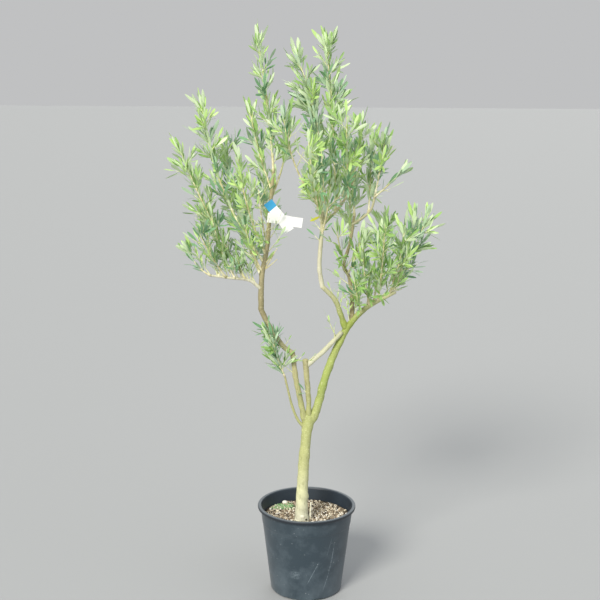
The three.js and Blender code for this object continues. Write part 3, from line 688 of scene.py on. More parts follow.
def inOwnSpace(points, number):
    # within reach of its own stem, nearer to it than to any other stem, and clear of every limb
    points = np.atleast_2d(points)
    clear = (distances(points, limbBeads) > limbBeadRadius + growth["limbGap"]).all(1)
    gaps = distances(points, stemBeads)
    own = gaps[:, stemOwner == number].min(1)
    other = gaps[:, stemOwner != number].min(1)
    return bool((clear & (own <= masses[number]["reach"]) & (own < other + growth["leafGap"])).all())


# Boxes where the photograph shows few leaves: low and high corners, and the share of leaves that are kept
clearings = [
    ((-104, -140, 880), (-8, 6, 962), 0),        # in front of the label
    ((-130, -60, 895), (-100, 0, 985), 0.3),     # and towards the light from it
    ((-150, -110, 920), (-60, -40, 1015), 0.15),
    ((-175, -160, 960), (-70, -100, 1060), 0.2),
    ((18, -140, 925), (86, -4, 1005), 0.4),      # bare twigs at the foot of the centre crown
    ((-10, -140, 900), (44, 0, 935), 0),         # round the yellow leaf
    ((-78, -170, 977), (-15, 190, 1058), 0),     # sky between the leader and the centre crown
    ((-50, -170, 1052), (-3, 190, 1128), 0.15),
    ((-148, -170, 1232), (-131, 190, 1341), 0),  # both sides of the leader's top
    ((-84, -170, 1232), (-59, 190, 1341), 0),
    ((-300, -170, 905), (-259, 190, 994), 0.4),  # left edge
    ((-272, -170, 815), (-224, 190, 889), 0.25),
    ((-168, -170, 829), (-134, 190, 857), 0.3),  # small openings in the left crown
    ((-224, -170, 977), (-194, 190, 1005), 0.35),
    ((-154, -170, 1133), (-131, 190, 1167), 0.35),
    ((-19, -170, 1237), (20, 190, 1283), 0.35),  # between and beside the two centre spires
    ((74, -170, 1260), (97, 190, 1302), 0.2),
    ((120, -170, 1093), (144, 190, 1133), 0.45),
    ((239, -170, 785), (272, 190, 820), 0.4),
    ((44, -170, 769), (90, 190, 804), 0.4),
    ((-243, -170, 1163), (-206, 190, 1214), 0),
    ((-170, -170, 668), (-112, 100, 740), 0),    # outside the left bough
    ((-92, -170, 815), (-40, 190, 885), 0.1),    # bare fork right of the leader
    ((32, -170, 850), (78, 190, 896), 0.12),     # right of the bare arm
    ((167, -170, 716), (241, 190, 769), 0.2),    # under the right crown
    ((190, -170, 1058), (218, 190, 1109), 0),
    ((176, -170, 966), (207, 190, 996), 0.2),    # below the lone twig
]


def isCleared(point, throw):
    for low, high, kept in clearings:
        if all(low[axis] < point[axis] < high[axis] for axis in range(3)) and throw >= kept:
            return True
    return False


def twigPath(root, ahead, length):
    # straight out along ahead, bending up by a share of the length as the square of the way
    share = np.linspace(0, 1, max(3, round(length / growth["ringStep"]) + 1))[:, None]
    return root + ahead * length * share + np.array([0, 0, growth["upBend"] * length]) * share ** 2


class Crown:
    # what grows in one region: tubes for stems and twigs, and a row for each leaf
    def __init__(self):
        self.stems = []
        self.twigs = []
        self.leaves = []


def addLeaves(crown, path, number, bare, every, draw, spray, topPairs=0):
    # opposite pairs, each a quarter turn from the last, and one leaf that ends the twig
    tangent, side, up = framesAlong(path)
    run = np.linalg.norm(np.diff(path, axis=0), axis=1).sum()
    pairs = max(1, round((run - bare) / every))
    first = draw(0, pi)
    for i in range(pairs + 1):
        place = (bare + (run - bare) * i / pairs) / run
        at = numberAt(path, place)
        root = pointAt(path, place)
        ends = i == pairs
        for half in range(1 if ends else 2):
            turn = first + pi * half + pi / 2 * i + draw(-growth["pairTurn"], growth["pairTurn"])
            upright = i >= pairs - topPairs
            lean = radians(draw(*growth["tipLean"]) if upright else draw(*growth["leafLean"]))
            outward = turned(side[at], up[at], turn)
            along = turned(tangent[at], outward, lean)
            face = turned(tangent[at], outward, lean - pi / 2)
            long = leafSize["length"] * draw(*leafSize["lengthSpread"])
            if topPairs and upright:
                long = growth["tipLeaf"] * draw(*growth["tipSpread" if ends else "topSpread"])
            looks = [draw(*leafSize["widthSpread"]), draw(*leafSize["curl"]), draw(*leafSize["fold"]),
                     draw(-leafSize["roll"], leafSize["roll"])]
            for share in () if isCleared(root + along * long / 2, draw(0, 1)) else leafSize["shares"]:
                if inOwnSpace(root + along * long * share, number):
                    crown.leaves.append([*root, *along, *face, long * share, *looks, spray])
                    break


def growMass(crown, number):
    mass, draw = masses[number], diceFor(number + 1)
    stem = mass["stem"]
    run = mass["length"] - growth["tipLeaf"]
    tangent, side, up = framesAlong(stem)
    limb = limbRadius(mass["limb"], mass["at"])
    thick = growth["stemRadius"] * (growth["slim"] + run / growth["slimLong"])
    thick = min(thick, limb * growth["stemMost"])
    share = np.linspace(0, 1, len(stem))
    radius = growth["stemTip"] + (thick - growth["stemTip"]) * (1 - share) ** growth["stemTaper"]
    swollen = np.exp(-(share * run / (limb + growth["swellLong"])) ** 2)
    radius = radius * (1 + growth["rootSwell"] * swollen)
    crown.stems.append((stem, radius))
    spray = sprayFor(stem[-1], draw)
    sparse = growth["sparser"] if mass["name"] == "lone_twig" else 1
    bare = min(growth["bareMost"], run * growth["bareShare"])
    addLeaves(crown, stem, number, bare, growth["stemPairEvery"] * sparse, draw, spray, 1)
    count = int((run - growth["firstTwig"]) / growth["twigEvery"] / sparse)
    for i in range(count):
        stray = draw(-growth["twigStray"], growth["twigStray"])
        place = (growth["firstTwig"] + growth["twigEvery"] * (i + stray)) / run
        at = numberAt(stem, place)
        turn = i * growth["spiral"] + draw(-growth["twigTurn"], growth["twigTurn"])
        lean = radians(draw(*growth["twigLean"]))
        outward = turned(side[at], up[at], turn)
        full = mass["reach"] * draw(*growth["twigShare"]) * (1 - growth["twigShorter"] * place)
        for length in [full * part for part in growth["twigTries"]]:
            twig = twigPath(pointAt(stem, place), turned(tangent[at], outward, lean), length)
            if inOwnSpace(twig[len(twig) // 2:], number):
                break
        else:
            continue
        twigsBefore, leavesBefore = len(crown.twigs), len(crown.leaves)
        crown.twigs.append((twig, np.linspace(growth["twigRadius"], growth["twigTip"], len(twig))))
        spray = sprayFor(twig[-1], draw)
        addLeaves(crown, twig, number, length * growth["twigBare"], growth["pairEvery"], draw, spray)
        growFine(crown, number, twig, length, draw, spray)
        if len(crown.leaves) == leavesBefore and isCleared(twig[-1], 0):
            del crown.twigs[twigsBefore:]


def growFine(crown, number, twig, length, draw, spray):
    # finer twigs leave the side twig by the same rule
    tangent, side, up = framesAlong(twig)
    for i in range(int(length / growth["fineEvery"])):
        steps = i + draw(0, growth["fineStray"])
        place = growth["fineFrom"] + growth["fineSpan"] * steps * growth["fineEvery"] / length
        if place > growth["fineTo"]:
            break
        at = numberAt(twig, place)
        turn = i * growth["spiral"] + draw(-growth["fineTurn"], growth["fineTurn"])
        outward = turned(side[at], up[at], turn)
        ahead = turned(tangent[at], outward, radians(draw(*growth["fineLean"])))
        fine = twigPath(pointAt(twig, place), ahead, length * draw(*growth["fineShare"]))
        if inOwnSpace(fine[1:], number):
            crown.twigs.append((fine, np.linspace(growth["fineRadius"], growth["fineTip"], len(fine))))
            addLeaves(crown, fine, number, growth["fineBare"], growth["pairEvery"], draw, spray)


# Longer shoots that fill out the crown where the photo shows its tips: mass, the pixel at which the shoot
# leaves that mass's stem, the pixel at which its last leaf ends, its tint and, for some, how far its end was
# moved, in mm across and up. Six are set in mm: the share of the stem at which they leave it, and
# their end.
spireShape = {"shortest": 0.35, "lastLeaf": 34, "knee": 0.45, "from": 1.3, "to": 0.6, "bare": 0.2,
              "pairEvery": 6.5, "topPairs": 2, "seed": 700}
spires = [
    ("leader_top", (262, 46), (256, 22), 1),
    ("leader_top", (262, 50), (262, 27), 1),
    ("leader_top", (267, 122), (274, 91), 1),
    ("leader_left", (256, 126), (246, 97), 1),
    ("centre_left", (299, 66), (290, 40), 1),
    ("centre_left", (300, 74), (285, 50), 0),
    ("centre_left", (299, 64), (297, 41), 1),
    ("centre_left", (305, 112), (285, 77), 1),
    ("centre_left", (308, 126), (284, 92), 0),
    ("centre_left", (302, 95), (294, 66), 1),
    ("centre_right", (327, 56), (317, 30), 1),
    ("centre_right", (327, 50), (323, 27), 1),
    ("centre_right", (328, 58), (334, 31), 0),
    ("centre_right", (328, 100), (338, 68), 1),
    ("centre_right", (332, 122), (349, 84), 0),
    ("centre_right", (338, 134), (351, 100), 1),
    ("crossing", (283, 128), (290, 99), 0),
    ("left_tall", (204, 120), (190, 92), 1),
    ("left_tall", (204, 112), (197, 89), 1),
    ("left_tall", (206, 150), (188, 122), 0),
    ("left_tall", (208, 146), (214, 121), 2),
    ("left_long", (184, 160), (170, 134), 1),
    ("left_long", (188, 178), (171, 157), 0),
    ("left_low", (190, 258), (180, 229), 1),
    ("left_low", (191, 262), (184, 240), 0),
    ("right_back", (383, 233), (377, 207), 1),
    ("right_mid", (412, 228), (411, 203), 1),
    ("right_outer", (424, 228), (431, 205), 1),
    ("right_outer", (414, 254), (437, 242), 0),
    ("lone_twig", (400, 175), (411, 157), 1),
    ("lone_twig", (398, 176), (408, 170), 0),
    ("centre_left", (303, 108), (283, 80), 1, (-11, 9)),
    ("centre_left", (304, 124), (285, 96), 0, (-14, 10)),
    ("centre_left", (303, 112), (290, 86), 2, (-6, 0)),
    ("leader_left", (259, 122), (254, 97), 1, (2, 3)),
    ("centre_left", (323, 118), (318, 88), 0, (0, 4)),
    ("centre_left", (320, 128), (315, 100), 2, (0, 3)),
    ("centre_right", (338, 122), (350, 93), 1, (3, 0)),
    ("centre_right", (328, 54), (330, 29), 0, (0, 4)),
    ("right_upper_back", (376, 150), (380, 123), 1),
    ("right_upper", (378, 154), (388, 131), 0, (2, 0)),
    ("right_upper_back", (374, 152), (373, 128), 1),
    ("left_low", (189, 256), (178, 228), 1, (-3, 0)),
    ("left_low", (189, 262), (176, 240), 0, (-2, 0)),
    ("left_low", (191, 256), (183, 232), 2, (-2, 0)),
    ("right_mid", (412, 230), (414, 205), 1, (2, 3)),
    ("right_outer", (424, 228), (430, 203), 1, (0, 3)),
    ("right_outer", (426, 234), (437, 212), 0, (2, 2)),
    ("right_back", (376, 230), (372, 205), 1),
    ("right_mid_front", (398, 240), (398, 215), 1),
    ("middle_right", 0.9, (128, -10, 880), 1),
    ("right_inner", 0.95, (146, -40, 900), 0),
    ("left_back", (200, 200), (190, 176), 1),
    ("low_shoot", 0.02, (-66, -34, 560), 2),
    ("low_shoot", 0.1, (-86, -36, 590), 0),
    ("low_shoot", 0.3, (-88, -32, 628), 2),
    ("low_shoot", 0.55, (-98, -28, 654), 0),
]


def placeSpire(name, foot, tip, tint, moved=(0, 0)):
    # the shoot leaves the stem's point that is seen nearest to the foot, stays as deep as that point, and
    # stops short of the tip by the length of its last leaf
    if len(tip) == 3:
        return name, foot, tip, tint
    stem = next(mass["stem"] for mass in masses if mass["name"] == name)
    number = np.linalg.norm(toPhoto(stem) - foot, axis=1).argmin()
    away = fromPhoto(*tip, stem[number][1]) - stem[number]
    share = max(spireShape["shortest"], 1 - spireShape["lastLeaf"] / np.linalg.norm(away))
    end = np.round(stem[number] + away * share) + (moved[0], 0, moved[1])
    return name, round(number / (len(stem) - 1), 2), end, tint


spires = [placeSpire(*row) for row in spires]


def growSpire(crown, order):
    # leaves along the stem and bends to its end: P(t) = (1 - t)^2 root + 2 t (1 - t) knee + t^2 end
    name, at, end, tint = spires[order]
    number = [mass["name"] for mass in masses].index(name)
    stem, draw = masses[number]["stem"], diceFor(spireShape["seed"] + order)
    root = pointAt(stem, at)
    long = np.linalg.norm(np.array(end) - root)
    knee = root + framesAlong(stem)[0][numberAt(stem, at)] * long * spireShape["knee"]
    t = np.linspace(0, 1, max(4, round(long / growth["ringStep"]) + 1))[:, None]
    path = (1 - t) ** 2 * root + 2 * t * (1 - t) * knee + t ** 2 * np.array(end)
    crown.twigs.append((path, np.linspace(spireShape["from"], spireShape["to"], len(path))))
    addLeaves(crown, path, number, long * spireShape["bare"], spireShape["pairEvery"], draw, tint,
              spireShape["topPairs"])


# Leaf tints, dealt out by spray: the share of sprays at the crown's foot and at its top
# Olive leaves are leathery and dark to fresh green above, and felted silver beneath.
leafTints = {
    "grownLeaf": {"upper": "#96bc6e", "under": "#c8ddb2", "low": 0.44, "high": 0.36},
    "freshLeaf": {"upper": "#badb86", "under": "#d8ebc2", "low": 0.2, "high": 0.44},
    "greyLeaf": {"upper": "#78a578", "under": "#b8d2b2", "low": 0.36, "high": 0.2},
    "yellowLeaf": {"upper": "#ece62c", "under": "#e6e654", "low": 0, "high": 0},
}
crownFoot, crownTop = 700, 1340


def sprayFor(tip, draw):
    high = min(max((tip[2] - crownFoot) / (crownTop - crownFoot), 0), 1)
    shares = np.cumsum([tint["low"] + (tint["high"] - tint["low"]) * high for tint in leafTints.values()])
    return int((draw(0, 1) * shares[-1] > shares).sum())


def makeLeafMaterial(name, colour, rough, sheen):
    material, tree, shader = newMaterial(name)
    shader.inputs["Base Color"].default_value = linear(colour)
    shader.inputs["Roughness"].default_value = rough
    shader.inputs["Sheen Weight"].default_value = sheen
    shader.inputs["Sheen Roughness"].default_value = 0.4
    place = addNode(tree, "TexCoord").outputs["Object"]
    veins = addNode(tree, "TexNoise", {"Scale": 1 / (leafSize["veins"] * mm), "Detail": 2.0},
                    {"Vector": place})
    bump = addNode(tree, "Bump", {"Strength": 0.25, "Distance": 0.2 * mm}, {"Height": veins.outputs[0]})
    tree.links.new(bump.outputs[0], shader.inputs["Normal"])
    return material


leafMaterials = []
for name, tint in leafTints.items():
    leafMaterials.append(makeLeafMaterial(name + "Upper", tint["upper"], 0.42, 0))
    leafMaterials.append(makeLeafMaterial(name + "Under", tint["under"], 0.65, 0.15))


twigGrain = {"patch": 9, "grit": 0.9}


def makeTwigMaterial(name, colours):
    material, tree, shader = newMaterial(name)
    place = addNode(tree, "TexCoord").outputs["Object"]
    patch = addNode(tree, "TexNoise", {"Scale": 1 / (twigGrain["patch"] * mm), "Detail": 3.0},
                    {"Vector": place})
    stops = [(0.36, linear(colours[0])), (0.52, linear(colours[1])), (0.66, linear(colours[2]))]
    colour = addNode(tree, "ValToRGB", {"stops": stops}, {"Fac": patch.outputs[0]})
    tree.links.new(colour.outputs[0], shader.inputs["Base Color"])
    shader.inputs["Roughness"].default_value = 0.62
    grit = addNode(tree, "TexNoise", {"Scale": 1 / (twigGrain["grit"] * mm), "Detail": 3.0},
                   {"Vector": place})
    bump = addNode(tree, "Bump", {"Strength": 0.4, "Distance": 0.3 * mm}, {"Height": grit.outputs[0]})
    tree.links.new(bump.outputs[0], shader.inputs["Normal"])
    return material


# Two-year stems have a cream to tan bark, and this year's twigs a pale green skin. Both are smooth with soft
# patches, and both colours are painted paler than the wood, as painted light against the shade inside the
# crown, so that thin wood reads as light lines among the darker leaves.
stemMaterial = makeTwigMaterial("creamStemBark", ("#cbc391", "#e4ddb2", "#f5f0d6"))
twigMaterial = makeTwigMaterial("greenTwigSkin", ("#cbd08e", "#e1e4ae", "#f1f2cd"))

leafRows = np.array([0, 0.08, 0.24, 0.48, 0.74, 0.92, 1])
leafWide = np.array([0.14, 0.17, 0.64, 0.98, 0.9, 0.5, 0.05])


def leafSurface(rows):
    # P(u, v) = root + along L u + across v w(u) W / 2 + face (curl L u^2 + fold |v| w(u) W / 2), a thin
    # lens that is closed between an upper and an under sheet
    rows = np.asarray(rows, float)
    root, along, face = rows[:, 0:3], rows[:, 3:6], rows[:, 6:9]
    long, wide, curl, fold, roll, spray = rows[:, 9:15].T
    across = np.cross(face, along)
    rolled = roll[:, None]
    across, face = (across * np.cos(rolled) + face * np.sin(rolled),
                    face * np.cos(rolled) - across * np.sin(rolled))
    half = leafSize["width"] / 2 * (long / leafSize["length"]) * wide
    u, w = leafRows[None, :, None], leafWide[None, :, None]
    v = np.array([-1, 0, 1, 0])[None, None, :]
    sheet = np.array([0, 0.5, 0, -0.5])[None, None, :] * leafSize["thick"]
    ahead = (long[:, None, None] * u) + 0 * v
    aside = half[:, None, None] * w * v
    lift = curl[:, None, None] * long[:, None, None] * u ** 2 + fold[:, None, None] * np.abs(aside)
    lift = lift + sheet * (0.4 + 0.6 * w)
    points = (root[:, None, None] + along[:, None, None] * ahead[..., None]
              + across[:, None, None] * aside[..., None] + face[:, None, None] * lift[..., None])
    left, top, right, under = 0, 1, 2, 3
    strips = []
    tints = []
    for row in range(len(leafRows) - 1):
        here, there = 4 * row, 4 * row + 4
        strips += [[here + left, there + left, there + top, here + top],
                   [here + top, there + top, there + right, here + right],
                   [here + left, here + under, there + under, there + left],
                   [here + under, here + right, there + right, there + under]]
        tints += [0, 0, 1, 1]
    last = 4 * (len(leafRows) - 1)
    strips += [[left, top, right, under], [last + left, last + under, last + right, last + top]]
    tints += [1, 1]
    shift = 4 * len(leafRows) * np.arange(len(rows))
    faces = (np.array(strips)[None] + shift[:, None, None]).reshape(-1, 4)
    tint = (2 * spray[:, None] + np.array(tints)[None]).reshape(-1)
    return points.reshape(-1, 3), faces.tolist(), tint


def twigSurface(tubes, sides):
    return joined([roundTube(path, radius, sides) for path, radius in tubes])


# Small shoots that stand on the bare limbs: limb, place, bearing, rise, length, pairs of leaves, the size of
# their leaves as a share, and tint. Those without pairs are bare twigs, apart from the single yellow leaf.
shootNames = ["limb", "at", "bearing", "rise", "length", "pairs", "leafShare", "spray"]
shoots = [
    ("arm_left_low", 0.62, -150, 62, 22, 1, 0.5, 1),
    ("arm_left_low", 0.5, -70, 75, 34, 2, 0.58, 1),
    ("arm_left_low", 0.36, -60, 70, 30, 2, 0.55, 1),
    ("diagonal_limb", 0.86, -168, 62, 46, 2, 0.66, 1),
    ("diagonal_limb", 0.8, -100, 70, 24, 1, 0.35, 1),
    ("middle_stub", 0.93, -10, 40, 18, 1, 0.3, 1),
    ("middle_stub", 0.42, -150, 40, 8, 1, 0.7, 2),
    ("left_bough_low", 0.86, -30, 38, 20, 1, 0.4, 0),
    ("left_bough_low", 0.72, -165, 35, 30, 2, 0.8, 0),
    ("left_bough", 0.3, -150, 40, 28, 2, 0.8, 2),
    ("left_bough", 0.2, -20, 50, 12, 1, 0.5, 0),
    ("left_bough", 0.16, -150, 14, 26, 2, 1.0, 2),
    ("left_bough", 0.38, -172, 12, 24, 2, 1.0, 0),
    ("left_bough", 0.52, -160, 20, 22, 2, 1.0, 2),
    ("left_bough", 0.66, -100, 40, 14, 1, 0.6, 2),
    ("left_leader", 0.27, -8, 54, 54, 0, 0.5, 1),
    ("left_leader", 0.28, -14, 32, 36, 0, 0.5, 1),
    ("left_leader", 0.4, -20, 46, 46, 3, 0.8, 0),
    ("left_leader", 0.5, 14, 50, 42, 3, 0.8, 2),
    ("left_leader", 0.56, -34, 40, 36, 2, 0.75, 0),
    ("low_left_branch", 0.2, -150, 75, 22, 3, 0.85, 0),
    ("low_left_branch", 0.31, 160, 70, 24, 3, 0.85, 1),
    ("low_left_branch", 0.43, -140, 66, 22, 3, 0.85, 2),
    ("low_left_branch", 0.56, 150, 72, 26, 3, 0.85, 0),
    ("low_left_branch", 0.69, -120, 68, 22, 3, 0.85, 1),
    ("low_left_branch", 0.82, 170, 74, 24, 3, 0.85, 0),
    ("low_left_branch", 0.12, -160, 62, 52, 3, 0.9, 0),
    ("low_left_branch", 0.24, 150, 70, 70, 5, 0.95, 2),
    ("low_left_branch", 0.36, -150, 64, 60, 4, 0.95, 0),
    ("low_left_branch", 0.5, -112, 52, 44, 3, 0.9, 2),
    ("low_left_branch", 0.62, 180, 70, 74, 5, 0.95, 0),
    ("low_left_branch", 0.76, -160, 58, 60, 4, 0.95, 1),
    ("low_left_branch", 0.88, 168, 74, 70, 5, 0.95, 0),
    ("low_left_branch", 1, 178, 52, 66, 5, 1.0, 1),
    ("arm_middle", 0.12, -150, 55, 40, 2, 0.55, 1),
    ("arm_middle", 0.2, -30, 60, 44, 3, 0.6, 0),
    ("arm_middle", 0.34, 170, 30, 40, 2, 0.85, 1),
    ("arm_right", 0.06, -120, 70, 46, 3, 0.6, 1),
    ("arm_right", 0.12, 60, 66, 40, 3, 0.6, 0),
    ("arm_right", 0.22, -95, 76, 56, 4, 0.75, 0),
    ("arm_right", 0.33, 100, 70, 60, 4, 0.8, 1),
    ("arm_right", 0.44, -70, 64, 62, 4, 0.85, 2),
    ("arm_right", 0.56, -110, 72, 60, 4, 0.85, 0),
    ("arm_right", 0.68, 60, 66, 56, 4, 0.85, 1),
    ("arm_right", 0.8, -60, 60, 54, 4, 0.85, 0),
    ("arm_right", 0.92, -20, 44, 48, 3, 0.9, 0),
    ("arm_right_tip", 1, 20, 50, 60, 4, 0.95, 1),
    ("arm_middle", 0.28, -60, 60, 54, 4, 0.8, 1),
    ("arm_middle", 0.42, -140, 50, 50, 4, 0.85, 0),
    ("arm_middle", 0.5, 10, 55, 58, 4, 0.85, 0),
    ("arm_left_fork", 0.2, -110, 30, 40, 0, 0.6, 1),
    ("arm_left_fork", 0.35, -60, 55, 46, 0, 0.6, 1),
    ("arm_left_fork", 0.5, -140, 48, 44, 0, 0.6, 1),
    ("arm_left", 0.95, -30, 34, 52, 0, 0.6, 1),
    ("arm_left", 0.57, -172, 38, 14, 1, 0.8, 2),
    ("arm_left", 0.9, -160, -26, 6, 0, 1.1, 3),
    ("arm_left", 0.7, 150, 40, 20, 1, 0.6, 0),
]


shootShape = {"seed": 500, "bareThick": 1.8, "thick": 1.2, "firstPair": 0.3, "turn": 0.4, "tipLean": (6, 20),
              "leafLean": (34, 58), "roll": 0.4, "lengthSpread": (0.85, 1.1), "yellow": 3}


def growShoot(crown, number):
    shoot, draw = dict(zip(shootNames, shoots[number])), diceFor(shootShape["seed"] + number)
    root = pointAt(limbPaths[shoot["limb"]], shoot["at"])
    bark = limbRadius(shoot["limb"], shoot["at"])
    path = twigPath(root, heading(shoot["bearing"], shoot["rise"]), shoot["length"] + bark)
    bare = shoot["pairs"] == 0 and shoot["spray"] != shootShape["yellow"]
    thick = shootShape["bareThick" if bare else "thick"]
    (crown.stems if bare else crown.twigs).append((path, np.linspace(thick, thick / 2, len(path))))
    if bare:
        return
    tangent, side, up = framesAlong(path)
    for i in range(shoot["pairs"] + 1):
        share = shootShape["firstPair"] + (1 - shootShape["firstPair"]) * i / max(shoot["pairs"], 1)
        place = (bark + shoot["length"] * share) / (bark + shoot["length"])
        ends = i == shoot["pairs"]
        at = numberAt(path, place)
        for half in range(1 if ends else 2):
            turn = pi * half + pi / 2 * i + draw(-shootShape["turn"], shootShape["turn"])
            turn = turn - (pi / 2 if shoot["pairs"] == 0 else 0)
            lean = radians(draw(*shootShape["tipLean" if ends else "leafLean"]))
            outward = turned(side[at], up[at], turn)
            looks = [draw(*leafSize["widthSpread"]), draw(*leafSize["curl"]), draw(*leafSize["fold"]),
                     draw(-shootShape["roll"], shootShape["roll"])]
            long = leafSize["length"] * shoot["leafShare"] * draw(*shootShape["lengthSpread"])
            crown.leaves.append([*path[at], *turned(tangent[at], outward, lean),
                                 *turned(tangent[at], outward, lean - pi / 2), long, *looks, shoot["spray"]])


def makeCrown(name, numbers, withShoots):
    crown = Crown()
    for number in numbers:
        growMass(crown, number)
    for order, spire in enumerate(spires):
        if spire[0] in [masses[number]["name"] for number in numbers]:
            growSpire(crown, order)
    if withShoots:
        for number in range(len(shoots)):
            growShoot(crown, number)
    nodes = ["leaves_" + masses[number]["name"] for number in numbers]
    stemPoints, stemFaces = twigSurface(crown.stems, 8)
    meshPiece("stems_" + name, stemPoints, stemFaces, [stemMaterial])
    twigPoints, twigFaces = twigSurface(crown.twigs, 5)
    meshPiece("twigs_" + name, twigPoints, twigFaces, [twigMaterial])
    leafPoints, leafFaces, tint = leafSurface(crown.leaves)
    leaves = meshPiece("leaves_of_" + name, leafPoints, leafFaces, leafMaterials, tint, 60)
    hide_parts(*nodes)
    print(name, len(crown.stems), "stems", len(crown.twigs), "twigs", len(crown.leaves), "leaves")


for name, starts in regions.items():
    numbers = [i for i, mass in enumerate(masses) if mass["name"].startswith(starts)]
    makeCrown(name, numbers, name == "centre_crown")
print("crown grown")

# Pot: injection-moulded polypropylene, a matt dark blue-grey that scuffs pale and holds dust
pot = {
    "rim": 240, "height": 216, "foot": 174, "bodyTop": 226, "wall": 2, "lip": 7, "lipRound": 1.5,
    "lipCut": (0.6, 2), "innerRound": 3, "step": 173, "stepHigh": 1, "stepDeep": 0.8, "footHigh": 5,
    "footIn": 3, "wallHeights": (4, 60, 120), "insideHeight": 100, "floorTop": 8, "channelInner": 40,
    "channelOuter": 68, "channelSlant": 2, "notches": 8, "notchWide": 30, "notchHigh": 4.5, "notchTurn": 0.4,
    "notchFrom": 65, "notchSteep": 0.02, "drains": 4, "drainWide": 12, "drainSides": 24,
    "drainCut": (-4, 20), "sides": 208, "round": 0.8,
    # the pale worn colour is a painted highlight along the rim's top edge, and the lip colour is painted
    # shade over the whole lip
    "colour": "#2f3e48", "dust": "#788791", "scratch": "#8d9ba5", "wearAndRimHighlight": "#93a1ab", "speck": "#b4bcc0",
    # the inside colour is painted shade, darker than the outside for the shade within the pot
    "inside": "#27323d", "lipShade": "#17212b",
}

potGrain = {
    "cloud": 46, "dustHigh": 110, "scratch": 3.2, "scratchStretch": (1, 9, 34), "scratchLean": 16,
    "handled": 130, "untouched": 170, "rub": 5, "speck": 9, "speckPatch": 30, "grain": 0.8,
    "insideCloud": 30,
}

# Long scratches and a smudge low on the front, in metres and radians as the shader has them: middle height
# and turn round the pot, how the turn changes with height and its square, half length, half width, strength
markNames = ["height", "turn", "slope", "bend", "half", "wide", "strong"]
potMarks = [
    (0.086, -0.946, 1.85, -15.0, 0.064, 0.015, 0.8),
    (0.077, -1.403, 4.97, 0.0, 0.03, 0.015, 0.7),
    (0.07, -1.84, 0.0, 0.0, 0.011, 0.17, 0.42),
    (0.14, -1.02, 2.2, 0.0, 0.026, 0.009, 0.4),
]


def potOutside(z):
    slope = (pot["bodyTop"] - pot["foot"]) / 2 / pot["height"]
    return pot["foot"] / 2 + slope * z + (pot["stepDeep"] if z >= pot["step"] else 0)


def potInside(z):
    return potOutside(z) - pot["wall"] - (pot["stepDeep"] if z >= pot["step"] else 0)


cornerPoints = 4


def softened(outline, cut, most=0.4):
    # each inner corner b between a and c becomes a short arc, (1-t)^2 p + 2t(1-t) b + t^2 q, which takes up
    # no more than a share of the sides that meet there
    outline = np.asarray(outline, float)
    a, b, c = outline[:-2], outline[1:-1], outline[2:]
    back, ahead = np.linalg.norm(b - a, axis=1)[:, None], np.linalg.norm(c - b, axis=1)[:, None]
    p = b + (a - b) / back * np.minimum(cut, back * most)
    q = b + (c - b) / ahead * np.minimum(cut, ahead * most)
    t = np.linspace(0, 1, cornerPoints)[None, :, None]
    arcs = (1 - t) ** 2 * p[:, None] + 2 * t * (1 - t) * b[:, None] + t ** 2 * q[:, None]
    return np.vstack([outline[:1], arcs.reshape(-1, 2), outline[-1:]])


def notchLift(radius, height, turn):
    # the foot ring rises by the notch's height over each notch, within a steep slope at its sides
    beat = 2 * pi / pot["notches"]
    gap = np.abs((turn - beat * pot["notchTurn"] + beat / 2) % beat - beat / 2)
    inside = np.clip((pot["notchWide"] / 2 / (pot["foot"] / 2) - gap) / pot["notchSteep"] + 0.5, 0, 1)
    return inside * np.maximum(pot["notchHigh"] - height, 0) * (radius > pot["notchFrom"])


def markShare(tree, mark, height, turn):
    # full along turn = middle + slope d + bend d^2, where d is the height above the mark's middle, and less
    # towards its sides and ends
    up = addNode(tree, "Math", {"operation": "SUBTRACT", 1: mark["height"]}, {0: height})
    lean = addNode(tree, "Math", {"operation": "MULTIPLY_ADD", 1: mark["bend"], 2: mark["slope"]},
                   {0: up.outputs[0]})
    line = addNode(tree, "Math", {"operation": "MULTIPLY_ADD", 2: mark["turn"]},
                   {0: up.outputs[0], 1: lean.outputs[0]})
    off = addNode(tree, "Math", {"operation": "SUBTRACT"}, {0: turn, 1: line.outputs[0]})
    off = addNode(tree, "Math", {"operation": "ABSOLUTE"}, {0: off.outputs[0]})
    near = addNode(tree, "MapRange", {"From Max": mark["wide"], "To Min": mark["strong"], "To Max": 0.0},
                   {"Value": off.outputs[0]})
    far = addNode(tree, "Math", {"operation": "ABSOLUTE"}, {0: up.outputs[0]})
    within = addNode(tree, "MapRange", {"From Min": mark["half"], "From Max": mark["half"] * 0.7},
                     {"Value": far.outputs[0]})
    return addNode(tree, "Math", {"operation": "MULTIPLY"}, {0: near.outputs[0], 1: within.outputs[0]})


